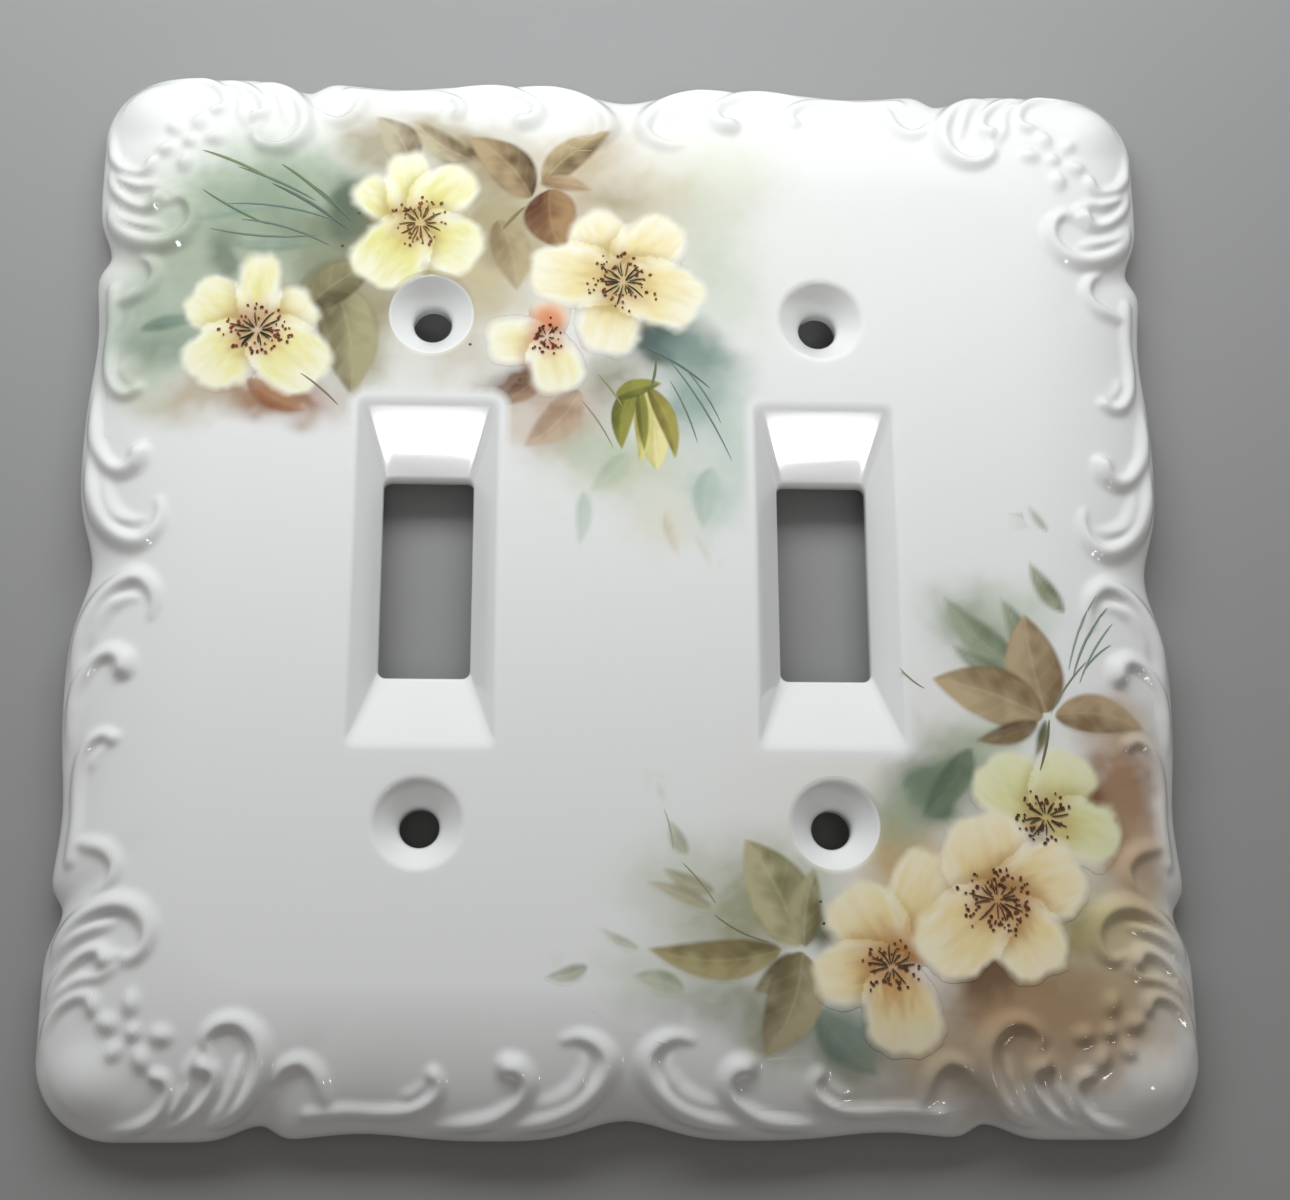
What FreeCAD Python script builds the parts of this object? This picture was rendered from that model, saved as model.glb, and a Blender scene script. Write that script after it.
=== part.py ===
import FreeCAD, Part
import Sketcher
import math
import os
from FreeCAD import Placement, Rotation, Vector

# Two-gang toggle switch cover plate, cast in porcelain, glazed and painted over the glaze.
# Millimetres. The plate lies on its back: the wall plane is z = 0, +Z comes out of the face,
# +Y runs up the wall, and the origin is the middle of the four screw holes.

doc = FreeCAD.newDocument("cover_plate")
sheet = doc.addObject("Spreadsheet::Sheet", "Sheet")

DIMENSIONS = {
    # plate
    "half_size": 63.8,          # middle of the plate to the furthest bulge of its edge
    "corner_radius": 9.0,
    "face_height": 8.4,         # wall plane to the flat face
    "centre_notch": 2.1,        # dip of the edge between the two large scrolls
    "centre_notch_reach": 6.0,
    "edge_waist": 0.85,         # long shallow dip halfway to the corner
    "edge_waist_place": 28.5,
    "edge_waist_reach": 7.0,
    "side_notch": 1.6,          # short dip where the corner ornament begins, steeper inwards
    "side_notch_place": 39.4,
    "side_notch_steep": 2.0,
    "side_notch_reach": 3.4,
    # hollow back
    "hollow_half": 58.2,
    "hollow_depth": 4.6,
    "boss_height": 3.0,         # wall plane to the back of the wells and screw seats
    "boss_diameter": 13.0,
    "well_boss_width": 19.0,
    "well_boss_length": 39.0,
    "well_boss_radius": 4.0,
    # toggle wells, the bevelled funnels round the two slots
    "gang_spacing": 46.04,
    "well_shift": -1.1,
    "well_width": 16.4,
    "well_length": 41.0,
    "well_radius": 2.6,
    "slot_width": 10.4,
    "slot_length": 23.6,
    "slot_radius": 1.5,
    "slot_height": 4.4,         # wall plane to the bottom of the bevels
    # screw seats
    "screw_rise": 60.33,
    "screw_bore": 4.4,
    "seat_diameter": 10.0,
    "seat_angle": 82.0,
    # relief ornament
    "scroll_radius": 1.0,
    "rib_radius": 0.65,
    "head_radius": 1.5,
    "bead_radius": 1.2,
    "ridge_sink": 0.25,         # how far below the slope each ridge is centred
    "knob_radius": 5.0,
    "knob_rise": 3.0,
    # overglaze enamel
    "enamel_thickness": 0.06,
    "rose_outer_left": 8.6,
    "rose_top_left": 8.0,
    "rose_top_centre": 8.4,
    "rose_inner_small": 4.4,
    "rose_lower_gold": 7.2,
    "rose_lower_left": 6.4,
    "rose_lower_right": 4.8,
}


def fill_sheet():
    for row, (alias, value) in enumerate(DIMENSIONS.items(), start=1):
        sheet.set(f"A{row}", alias)
        sheet.set(f"B{row}", str(value))
        sheet.setAlias(f"B{row}", alias)
    doc.recompute()


fill_sheet()


def size(alias):
    """The number in the sheet's cell with this alias."""
    return float(sheet.get(alias))


# ---------------------------------------------------------------- outline and profile

# Sections of the plate from the wall up: height above the wall, how far the section lies
# inside the widest outline, and how much of the edge's notches it still shows.
SECTIONS = [
    (0.0, 1.7, 0.9),
    (1.7, 0.0, 1.0),
    (3.7, 1.0, 0.95),
    (5.4, 3.6, 0.7),
    (6.9, 7.6, 0.35),
    (7.9, 12.0, 0.1),
    (None, 16.0, 0.0),          # the flat face, at face_height
]


def bump(at, middle, width):
    """A smooth bell: one at the middle, falling to about a third at one width from it."""
    return math.exp(-((at - middle) / width) ** 2)


def notch_depth(along):
    """How far the edge dips at this distance from the middle of its side."""
    place = size("side_notch_place")
    reach = size("side_notch_steep") if along < place else size("side_notch_reach")
    return (
        size("centre_notch") * bump(along, 0.0, size("centre_notch_reach"))
        + size("edge_waist") * bump(along, size("edge_waist_place"), size("edge_waist_reach"))
        + size("side_notch") * bump(along, place, reach)
    )


STRAIGHT_STEPS = 26             # points of the outline on half a side
CORNER_STEPS = 3                # and on half a corner


def eighth_points(inset, notched):
    """Half of the right side, middle to corner, as (x, y) from the straight and the corner arc."""
    half = size("half_size") - inset
    radius = size("corner_radius")
    straight = half - radius
    points = []
    for k in range(STRAIGHT_STEPS):
        along = straight * k / STRAIGHT_STEPS
        dip = notched * notch_depth(along * size("half_size") / half)
        points.append((half - dip, along))
    for k in range(CORNER_STEPS + 1):
        angle = math.radians(45.0 * k / CORNER_STEPS)
        points.append((straight + radius * math.cos(angle), straight + radius * math.sin(angle)))
    return points


def outline_points(inset, notched):
    """The closed outline: the eighth mirrored in the diagonal, and that quarter turned four times."""
    eighth = eighth_points(inset, notched)
    quarter = eighth + [(y, x) for x, y in reversed(eighth[1:-1])]
    points = []
    for turn in range(4):
        c, s = round(math.cos(turn * math.pi / 2)), round(math.sin(turn * math.pi / 2))
        points += [Vector(c * x - s * y, s * x + c * y, 0) for x, y in quarter]
    return points


def section_heights():
    return [size("face_height") if height is None else height for height, _, _ in SECTIONS]


def surface_height(inset):
    """Height of the outer surface at this distance in from the widest outline."""
    heights = section_heights()[1:]
    insets = [row[1] for row in SECTIONS[1:]]
    if inset >= insets[-1]:
        return heights[-1]
    for k in range(len(insets) - 1):
        if inset <= insets[k + 1]:
            share = (inset - insets[k]) / (insets[k + 1] - insets[k])
            return heights[k] + share * (heights[k + 1] - heights[k])
    return heights[-1]


# ---------------------------------------------------------------- sketch helpers

def origin_plane(body, role="XY_Plane"):
    return next(item for item in body.Origin.OriginFeatures if item.Role == role)


def new_sketch(body, name, height="0", across="0", along="0"):
    """A sketch parallel to the wall plane, its origin placed by three expressions."""
    sketch = body.newObject("Sketcher::SketchObject", name)
    sketch.AttachmentSupport = (origin_plane(body), [""])
    sketch.MapMode = "FlatFace"
    sketch.setExpression(".AttachmentOffset.Base.x", across)
    sketch.setExpression(".AttachmentOffset.Base.y", along)
    sketch.setExpression(".AttachmentOffset.Base.z", height)
    return sketch


def add_rounded_rectangle(sketch, width, length, radius):
    """A rectangle with round corners about the sketch's origin, its three sizes expressions."""
    guess_x, guess_y, guess_r = 20.0, 30.0, 3.0
    ex, ey = guess_x - guess_r, guess_y - guess_r
    corners = [(ex, -ey, -90), (ex, ey, 0), (-ex, ey, 90), (-ex, -ey, 180)]
    lines = [
        (Vector(-ex, -guess_y, 0), Vector(ex, -guess_y, 0)),
        (Vector(guess_x, -ey, 0), Vector(guess_x, ey, 0)),
        (Vector(ex, guess_y, 0), Vector(-ex, guess_y, 0)),
        (Vector(-guess_x, ey, 0), Vector(-guess_x, -ey, 0)),
    ]
    for start, end in lines:
        sketch.addGeometry(Part.LineSegment(start, end), False)
    for x, y, begin in corners:
        circle = Part.Circle(Vector(x, y, 0), Vector(0, 0, 1), guess_r)
        arc = Part.ArcOfCircle(circle, math.radians(begin), math.radians(begin + 90))
        sketch.addGeometry(arc, False)
    for k in range(4):
        sketch.addConstraint(Sketcher.Constraint("Tangent", k, 2, 4 + k, 1))
        sketch.addConstraint(Sketcher.Constraint("Tangent", 4 + k, 2, (k + 1) % 4, 1))
    for k in (0, 2):
        sketch.addConstraint(Sketcher.Constraint("Horizontal", k))
        sketch.addConstraint(Sketcher.Constraint("Vertical", k + 1))
    for k in (5, 6, 7):
        sketch.addConstraint(Sketcher.Constraint("Equal", 4, k))
    sketch.addConstraint(Sketcher.Constraint("Symmetric", 7, 3, 5, 3, -1, 1))
    bind(sketch, Sketcher.Constraint("Radius", 4, guess_r), radius)
    bind(sketch, Sketcher.Constraint("DistanceX", 7, 3, 4, 3, 2 * ex), f"{width} - 2 * ({radius})")
    bind(sketch, Sketcher.Constraint("DistanceY", 4, 3, 5, 3, 2 * ey), f"{length} - 2 * ({radius})")


def bind(sketch, constraint, expression):
    index = sketch.addConstraint(constraint)
    sketch.setExpression(f"Constraints[{index}]", expression)


def add_four_circles(sketch, across, along, diameter):
    """One circle in each quarter, mirrored in both axes."""
    guess_x, guess_y = size("gang_spacing") / 2, size("screw_rise") / 2
    for sx, sy in ((1, 1), (-1, 1), (1, -1), (-1, -1)):
        centre = Vector(sx * guess_x, sy * guess_y, 0)
        sketch.addGeometry(Part.Circle(centre, Vector(0, 0, 1), 3.0), False)
    sketch.addConstraint(Sketcher.Constraint("Symmetric", 0, 3, 1, 3, -2))
    sketch.addConstraint(Sketcher.Constraint("Symmetric", 0, 3, 2, 3, -1))
    sketch.addConstraint(Sketcher.Constraint("Symmetric", 0, 3, 3, 3, -1, 1))
    for k in (1, 2, 3):
        sketch.addConstraint(Sketcher.Constraint("Equal", 0, k))
    bind(sketch, Sketcher.Constraint("Diameter", 0, 6.0), diameter)
    bind(sketch, Sketcher.Constraint("DistanceX", -1, 1, 0, 3, guess_x), across)
    bind(sketch, Sketcher.Constraint("DistanceY", -1, 1, 0, 3, guess_y), along)


def check_cuts(body, feature, before):
    """A cut that points away from the solid takes nothing off, so its volume is compared."""
    doc.recompute()
    if feature.Shape.Volume >= before - 1.0:
        raise RuntimeError(f"{feature.Name} removed nothing from {body.Name}")


# ---------------------------------------------------------------- porcelain plate

def add_shell(body):
    """The pillow-shaped casting: one smooth loft from the rolled edge up to the flat face."""
    sketches = []
    for k, (height, inset, notched) in enumerate(SECTIONS):
        place = "Sheet.face_height" if height is None else str(height)
        sketch = new_sketch(body, f"outline_{k}", place)
        points = outline_points(inset, notched)
        curve = Part.BSplineCurve()
        curve.interpolate(Points=points, Parameters=list(range(len(points) + 1)), PeriodicFlag=True)
        sketch.addGeometry(curve, False)
        sketches.append(sketch)
    doc.recompute()
    loft = body.newObject("PartDesign::AdditiveLoft", "shell")
    loft.Profile = sketches[0]
    loft.Sections = sketches[1:]
    doc.recompute()
    return loft


# Sections of the hollow: height above the wall, and how far it has closed in by then.
HOLLOW_SECTIONS = [
    ("0", "0"),
    ("0.6 * Sheet.hollow_depth", "2.6"),
    ("Sheet.hollow_depth", "8"),
]


def add_hollow(body):
    """The open back: a dished hollow that leaves a flat rim to stand on the wall."""
    before = body.Shape.Volume
    sketches = []
    for k, (height, inset) in enumerate(HOLLOW_SECTIONS):
        sketch = new_sketch(body, f"hollow_{k}", height)
        side = f"2 * (Sheet.hollow_half - {inset})"
        add_rounded_rectangle(sketch, side, side, "Sheet.corner_radius")
        sketches.append(sketch)
    doc.recompute()
    hollow = body.newObject("PartDesign::SubtractiveLoft", "hollow_back")
    hollow.Profile = sketches[0]
    hollow.Sections = sketches[1:]
    check_cuts(body, hollow, before)


def add_bosses(body):
    """The backs of the wells and screw seats, which hang into the hollow."""
    height = "(Sheet.face_height + Sheet.hollow_depth) / 2 - Sheet.boss_height"
    seats = new_sketch(body, "seat_backs", "Sheet.boss_height")
    add_four_circles(seats, "Sheet.gang_spacing / 2", "Sheet.screw_rise / 2", "Sheet.boss_diameter")
    pads = [("seat_bosses", seats)]
    for side, sign in (("left", "-1"), ("right", "1")):
        sketch = new_sketch(
            body, f"well_back_{side}", "Sheet.boss_height",
            f"{sign} * Sheet.gang_spacing / 2", "Sheet.well_shift",
        )
        add_rounded_rectangle(
            sketch, "Sheet.well_boss_width", "Sheet.well_boss_length", "Sheet.well_boss_radius"
        )
        pads.append((f"well_boss_{side}", sketch))
    for name, sketch in pads:
        pad = body.newObject("PartDesign::Pad", name)
        pad.Profile = sketch
        pad.setExpression("Length", height)
        doc.recompute()


def add_well(body, side, sign):
    """One bevelled funnel with its straight slot for the toggle."""
    across = f"{sign} * Sheet.gang_spacing / 2"
    mouth = new_sketch(body, f"well_mouth_{side}", "Sheet.face_height", across, "Sheet.well_shift")
    add_rounded_rectangle(mouth, "Sheet.well_width", "Sheet.well_length", "Sheet.well_radius")
    throat = new_sketch(body, f"well_throat_{side}", "Sheet.slot_height", across, "Sheet.well_shift")
    add_rounded_rectangle(throat, "Sheet.slot_width", "Sheet.slot_length", "Sheet.slot_radius")
    slot = new_sketch(body, f"slot_outline_{side}", "Sheet.slot_height", across, "Sheet.well_shift")
    add_rounded_rectangle(slot, "Sheet.slot_width", "Sheet.slot_length", "Sheet.slot_radius")
    doc.recompute()
    before = body.Shape.Volume
    well = body.newObject("PartDesign::SubtractiveLoft", f"well_{side}")
    well.Profile = mouth
    well.Sections = [throat]
    well.Ruled = True
    check_cuts(body, well, before)
    before = body.Shape.Volume
    cut = body.newObject("PartDesign::Pocket", f"slot_{side}")
    cut.Profile = slot
    cut.Length = 2 * size("slot_height")
    check_cuts(body, cut, before)


def add_screw_seats(body):
    """Four countersunk holes at the standard spacing of a two-gang box."""
    sketch = new_sketch(body, "screw_centres", "Sheet.face_height")
    add_four_circles(sketch, "Sheet.gang_spacing / 2", "Sheet.screw_rise / 2", "Sheet.screw_bore")
    doc.recompute()
    before = body.Shape.Volume
    hole = body.newObject("PartDesign::Hole", "screw_holes")
    hole.Profile = sketch
    hole.Threaded = False
    hole.DepthType = "ThroughAll"
    hole.HoleCutType = "Countersink"
    hole.HoleCutCustomValues = True
    hole.setExpression("Diameter", "Sheet.screw_bore")
    hole.setExpression("HoleCutDiameter", "Sheet.seat_diameter")
    hole.setExpression("HoleCutCountersinkAngle", "Sheet.seat_angle")
    check_cuts(body, hole, before)


def make_plate():
    body = doc.addObject("PartDesign::Body", "plate_body")
    body.Label = "plate_body"
    shell = add_shell(body)
    pillow = doc.addObject("Part::Feature", "pillow")
    pillow.Shape = shell.Shape.copy()
    add_hollow(body)
    add_bosses(body)
    add_well(body, "left", "-1")
    add_well(body, "right", "1")
    add_screw_seats(body)
    doc.recompute()
    return body, pillow


plate, pillow = make_plate()


# ---------------------------------------------------------------- relief scrolls

# Routes of the ridges on half of one side, tail first: distance along the edge from the middle
# of the side, and distance out from the plate's centre. Each ridge is a half-round rib that
# lies on the slope; its second value is the cell with its radius, its third the cell with the
# radius of the bead that ends it.
EDGE_RIDGES = {
    "big_scroll": (
        [(13.0, 61.9), (8.5, 60.8), (4.9, 58.9), (2.7, 56.3), (3.2, 54.0), (5.2, 53.1), (6.8, 53.5)],
        "scroll_radius", "scroll_radius",
    ),
    "big_scroll_rib": ([(8.6, 59.0), (6.3, 58.3), (5.3, 56.6), (5.7, 55.6)], "rib_radius", "rib_radius"),
    "middle_curl": (
        [(20.6, 61.8), (17.0, 61.6), (14.0, 60.4), (12.2, 58.6), (12.2, 56.9)],
        "scroll_radius", "head_radius",
    ),
    "outer_curl": (
        [(33.0, 61.2), (27.0, 61.1), (23.2, 60.5), (21.0, 59.0), (20.9, 57.4)],
        "scroll_radius", "scroll_radius",
    ),
    "hook": ([(32.9, 59.2), (33.0, 57.2), (34.8, 55.6), (36.6, 56.6)], "scroll_radius", "scroll_radius"),
}
CORNER_RIDGES = {
    "corner_scroll": (
        [(44.2, 61.2), (41.2, 58.9), (39.6, 55.6), (40.4, 52.9), (42.6, 51.7), (44.4, 52.8), (43.9, 54.5)],
        "scroll_radius", "scroll_radius",
    ),
    "corner_rib": ([(45.2, 60.4), (43.2, 58.7), (42.0, 56.9)], "rib_radius", "rib_radius"),
    "corner_comma": (
        [(50.0, 61.9), (47.6, 60.4), (46.0, 58.4), (45.6, 56.8)],
        "scroll_radius", "head_radius",
    ),
    "corner_tail": ([(54.6, 61.9), (51.6, 61.0), (49.9, 59.2), (49.9, 57.6)], "rib_radius", "scroll_radius"),
}
# Petals of the small flower on the diagonal and its two side buds.
FLOWER_BEADS = [(52.2, 52.2), (54.6, 51.4), (51.4, 54.6), (54.4, 54.4), (48.6, 52.6), (52.6, 48.6)]
KNOB_PLACE = 57.4               # along both sides
KNOB_TOP = 6.9                  # height of the corner knob above the wall


def on_slope(along, out):
    """The point of the slope on the lower side of the plate at this place."""
    corner = size("half_size") - size("corner_radius")
    inset = size("half_size") - max(along, out)
    if along > corner and out > corner:
        inset = size("corner_radius") - math.hypot(along - corner, out - corner)
    return Vector(-along, -out, surface_height(max(inset, 0.0)) - size("ridge_sink"))


def new_ridge(name, route, radius, head):
    """A round rib swept along a smooth curve that lies on the slope, with a ball at each end."""
    points = [on_slope(*place) for place in route]
    curve = Part.BSplineCurve()
    curve.interpolate(points)
    spine = doc.addObject("Part::Feature", f"{name}_spine")
    spine.Shape = Part.Wire(curve.toShape())
    section = doc.addObject("Part::Circle", f"{name}_section")
    section.setExpression("Radius", f"Sheet.{radius}")
    start_direction = curve.tangent(curve.FirstParameter)[0]
    section.Placement = Placement(points[0], Rotation(Vector(0, 0, 1), start_direction))
    rib = doc.addObject("Part::Sweep", f"{name}_rib")
    rib.Sections = [section]
    rib.Spine = spine
    rib.Solid = True
    rib.Frenet = False
    return [rib, new_ball(f"{name}_tail", points[0], radius), new_ball(f"{name}_head", points[-1], head)]


def new_ball(name, centre, radius):
    ball = doc.addObject("Part::Sphere", name)
    ball.setExpression("Radius", f"Sheet.{radius}")
    ball.Placement = Placement(centre, Rotation())
    return ball


def new_knob():
    """The flattened ball that rounds off the corner."""
    knob = doc.addObject("Part::Ellipsoid", "knob_ball")
    knob.setExpression("Radius1", "Sheet.knob_rise")
    knob.setExpression("Radius2", "Sheet.knob_radius")
    knob.setExpression("Radius3", "Sheet.knob_radius")
    knob.Placement = Placement(Vector(-KNOB_PLACE, -KNOB_PLACE, KNOB_TOP - size("knob_rise")), Rotation())
    return knob


def fuse(name, members):
    joined = doc.addObject("Part::MultiFuse", name)
    joined.Shapes = members
    return joined


def stand_proud(name, base):
    """What of this shape stands out of the plate: its face against the plate fits exactly."""
    cut = doc.addObject("Part::Cut", name)
    cut.Base = base
    cut.Tool = pillow
    return cut


def mirror(name, source, normal):
    mirrored = doc.addObject("Part::Mirroring", name)
    mirrored.Source = source
    mirrored.Normal = normal
    return mirrored


def proud_ridges(group, ridges):
    """The ridges of one list, joined where they cross and cut free of the plate."""
    members = []
    for name, (route, radius, head) in ridges.items():
        members += new_ridge(name, route, radius, head)
    return stand_proud(f"{group}_proud", fuse(f"{group}_ridges", members))


def compound(name, members, turn=0):
    """A node made of several separate solids, turned about the plate's middle in quarter turns."""
    node = doc.addObject("Part::Compound", name)
    node.Links = members
    node.Placement = Placement(Vector(0, 0, 0), Rotation(Vector(0, 0, 1), 90.0 * turn))
    node.Label = name
    return node


def make_edge_scrolls():
    """Scrolls along the middle of each side, in mirrored pairs, the same on all four sides."""
    half = proud_ridges("edge", EDGE_RIDGES)
    other = mirror("edge_mirrored", half, Vector(1, 0, 0))
    sides = ["bottom", "right", "top", "left"]
    return [compound(f"edge_scrolls_{side}", [half, other], turn) for turn, side in enumerate(sides)]


def make_corner_ornaments():
    """Scrolls either side of each corner, and the flower and knob on its diagonal."""
    half = proud_ridges("corner", CORNER_RIDGES)
    other = mirror("corner_mirrored", half, Vector(1, -1, 0))
    beads = [
        new_ball(f"flower_bead_{k}", on_slope(*place), "bead_radius")
        for k, place in enumerate(FLOWER_BEADS)
    ]
    flower = stand_proud("flower_proud", fuse("flower_beads", beads))
    knob = stand_proud("knob_proud", new_knob())
    corners = ["bottom_left", "bottom_right", "top_right", "top_left"]
    nodes = []
    for turn, corner in enumerate(corners):
        nodes.append(compound(f"corner_scrolls_{corner}", [half, other], turn))
        nodes.append(compound(f"corner_flower_{corner}", [flower], turn))
        nodes.append(compound(f"corner_knob_{corner}", [knob], turn))
    return nodes


relief = make_edge_scrolls() + make_corner_ornaments()


# ---------------------------------------------------------------- overglaze enamel

# The painted sprays are thin coats of enamel fired on to the glaze. Each coat is the part of
# an upright prism that lies between the plate's surface and the same surface raised by the
# enamel's thickness, so it follows the face and the slope beyond it.
ROSES = {
    # name: (x, y, turn of the first petal)
    "rose_outer_left": (-43.4, 28.6, 10),
    "rose_top_left": (-24.5, 43.2, 40),
    "rose_top_centre": (-0.4, 34.6, 20),
    "rose_inner_small": (-11.2, 26.4, 0),
    "rose_lower_gold": (40.6, -38.6, 30),
    "rose_lower_left": (27.6, -45.4, 5),
    "rose_lower_right": (48.6, -27.8, 50),
}
# Leaves and brush strokes: x, y of the middle, direction in degrees, length, width.
LEAVES = {
    "leaves_bronze_upper": [
        (-14.6, 50.6, 150, 9.0, 4.2), (-5.6, 51.4, 40, 9.5, 4.0), (-10.4, 44.4, 100, 4.6, 3.2),
        (-26.8, 54.2, 25, 7.0, 2.6), (-33.4, 32.6, 60, 6.0, 2.6), (-31.6, 24.4, 95, 6.5, 2.4),
        (-42.8, 17.6, 80, 4.5, 2.2), (-10.6, 17.6, 70, 5.5, 2.4), (-17.6, 33.6, 120, 5.0, 2.2),
    ],
    "leaves_bronze_lower": [
        (46.4, -11.4, 100, 9.0, 4.2), (41.0, -15.6, 165, 9.0, 4.2), (53.2, -17.6, 175, 8.6, 3.6),
    ],
    "leaves_olive_lower": [
        (14.4, -37.4, 105, 9.0, 4.2), (8.6, -43.4, 178, 11.0, 4.4), (15.6, -49.4, 92, 9.5, 3.8),
        (5.4, -31.2, 60, 4.6, 2.4), (3.0, -26.2, 110, 3.8, 2.0), (2.4, -36.4, 20, 4.4, 2.4),
        (-1.6, -42.2, 150, 3.8, 2.0), (-6.2, -46.2, 35, 5.4, 2.6), (2.4, -48.2, 60, 4.6, 2.4),
    ],
    "leaves_green_upper": [
        (-34.4, 39.2, 45, 6.5, 3.4), (-47.2, 40.6, 20, 6.0, 3.4), (-54.4, 24.6, 80, 6.0, 2.6),
        (8.6, 22.6, 60, 7.0, 3.2), (-5.2, 4.8, 60, 5.0, 2.2), (4.6, 3.0, 110, 4.6, 2.2),
        (9.2, 6.4, 40, 4.4, 2.0),
    ],
    "leaves_green_lower": [
        (36.2, -8.2, 40, 6.0, 3.2), (33.0, -26.6, 60, 5.0, 2.6), (24.4, -54.2, 15, 6.0, 2.4),
        (47.6, 5.2, 70, 4.8, 2.4), (50.4, -3.4, 110, 4.4, 2.0),
    ],
    "rosebud_upper": [(2.6, 15.8, 82, 11.0, 5.0)],
    "grass_strokes_upper": [(-42.2, 47.6, 154, 17.0, 0.9), (-46.0, 45.0, 158, 9.0, 0.8)],
    "grass_strokes_lower": [(53.6, -8.6, 108, 9.0, 0.8), (57.0, -10.4, 112, 7.0, 0.8)],
}
PRISM_BOTTOM = 5.0


def make_raised_pillow():
    """The plate's outer surface raised by one coat of enamel."""
    raised = doc.addObject("Part::Feature", "raised_pillow")
    raised.Shape = pillow.Shape.copy()
    raised.setExpression(".Placement.Base.z", "Sheet.enamel_thickness")
    return raised


def new_prism(name, x, y, turn):
    """An empty body whose origin lies under the motif's middle."""
    body = doc.addObject("PartDesign::Body", f"{name}_prism")
    body.AllowCompound = True
    body.Placement = Placement(Vector(x, y, PRISM_BOTTOM), Rotation(Vector(0, 0, 1), turn))
    return body


def raise_prism(body, sketch, name):
    pad = body.newObject("PartDesign::Pad", name)
    pad.Profile = sketch
    pad.setExpression("Length", f"Sheet.face_height + 1 - {PRISM_BOTTOM}")
    doc.recompute()
    return pad


def disc_sketch(body, name, away, radius):
    """A circle on the body's own x axis, both of its sizes expressions."""
    sketch = new_sketch(body, name)
    sketch.addGeometry(Part.Circle(Vector(3, 0, 0), Vector(0, 0, 1), 2.0), False)
    sketch.addConstraint(Sketcher.Constraint("PointOnObject", 0, 3, -1))
    bind(sketch, Sketcher.Constraint("Radius", 0, 2.0), radius)
    bind(sketch, Sketcher.Constraint("DistanceX", -1, 1, 0, 3, 3.0), away)
    return sketch


def centre_disc_sketch(body, name, radius):
    sketch = new_sketch(body, name)
    sketch.addGeometry(Part.Circle(Vector(0, 0, 0), Vector(0, 0, 1), 2.0), False)
    sketch.addConstraint(Sketcher.Constraint("Coincident", 0, 3, -1, 1))
    bind(sketch, Sketcher.Constraint("Radius", 0, 2.0), radius)
    return sketch


def petal_prism(name, place):
    """Five round petals about a middle disc, with the stamens' circle left out."""
    body = new_prism(f"{name}_petals", *place)
    middle = centre_disc_sketch(body, f"{name}_middle", f"0.55 * Sheet.{name}")
    raise_prism(body, middle, f"{name}_middle_pad")
    petal = disc_sketch(body, f"{name}_petal", f"0.56 * Sheet.{name}", f"0.44 * Sheet.{name}")
    first = raise_prism(body, petal, f"{name}_petal_pad")
    ring = body.newObject("PartDesign::PolarPattern", f"{name}_ring")
    ring.Originals = [first]
    ring.Axis = (petal, ["N_Axis"])
    ring.Angle = 360
    ring.Occurrences = 5
    body.Tip = ring
    doc.recompute()
    before = ring.Shape.Volume
    eye = centre_disc_sketch(body, f"{name}_eye", f"0.26 * Sheet.{name}")
    doc.recompute()
    hole = body.newObject("PartDesign::Pocket", f"{name}_eye_hole")
    hole.Profile = eye
    hole.Type = "ThroughAll"
    hole.Reversed = True
    check_cuts(body, hole, before)
    body.Tip = hole
    return body


def stamen_prism(name, place):
    body = new_prism(f"{name}_stamens", *place)
    eye = centre_disc_sketch(body, f"{name}_stamen_disc", f"0.26 * Sheet.{name}")
    raise_prism(body, eye, f"{name}_stamen_pad")
    return body


def leaf_prism(name, leaves):
    """Pointed strokes, each the space between two arcs that meet at its ends."""
    body = new_prism(name, 0.0, 0.0, 0.0)
    sketch = new_sketch(body, f"{name}_outline")
    for x, y, direction, length, width in leaves:
        middle = Vector(x, y, 0)
        reach = Rotation(Vector(0, 0, 1), direction).multVec(Vector(length / 2, 0, 0))
        belly = Rotation(Vector(0, 0, 1), direction).multVec(Vector(0, width / 2, 0))
        sketch.addGeometry(Part.Arc(middle - reach, middle + belly, middle + reach), False)
        sketch.addGeometry(Part.Arc(middle - reach, middle - belly, middle + reach), False)
        last = sketch.GeometryCount - 1
        join_arcs(sketch, last - 1, last)
    raise_prism(body, sketch, f"{name}_pad")
    return body


def join_arcs(sketch, upper, lower):
    """Ties two arcs together where their ends already lie on each other."""
    for first in (1, 2):
        point = sketch.getPoint(upper, first)
        second = 1 if sketch.getPoint(lower, 1).distanceToPoint(point) < 1e-6 else 2
        sketch.addConstraint(Sketcher.Constraint("Coincident", upper, first, lower, second))


def coat(name, prism, raised):
    """One coat of enamel: the prism's slice between the surface and the raised surface."""
    slab = doc.addObject("Part::Common", f"{name}_slab")
    slab.Base = prism
    slab.Tool = raised
    node = doc.addObject("Part::Cut", name)
    node.Base = slab
    node.Tool = pillow
    node.Label = name
    return node


def make_enamel():
    raised = make_raised_pillow()
    nodes = []
    for name, place in ROSES.items():
        nodes.append(coat(f"{name}_petals", petal_prism(name, place), raised))
        nodes.append(coat(f"{name}_stamens", stamen_prism(name, place), raised))
    for name, leaves in LEAVES.items():
        nodes.append(coat(name, leaf_prism(name, leaves), raised))
    return nodes


enamel = make_enamel()


# ---------------------------------------------------------------- checks and export

def check_document():
    """Stops on any failed object: a recompute can leave one without raising."""
    doc.recompute()
    for item in doc.Objects:
        if "Invalid" in item.State or "Error" in item.State:
            raise RuntimeError(f"{item.Label} is {item.State}")


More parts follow.
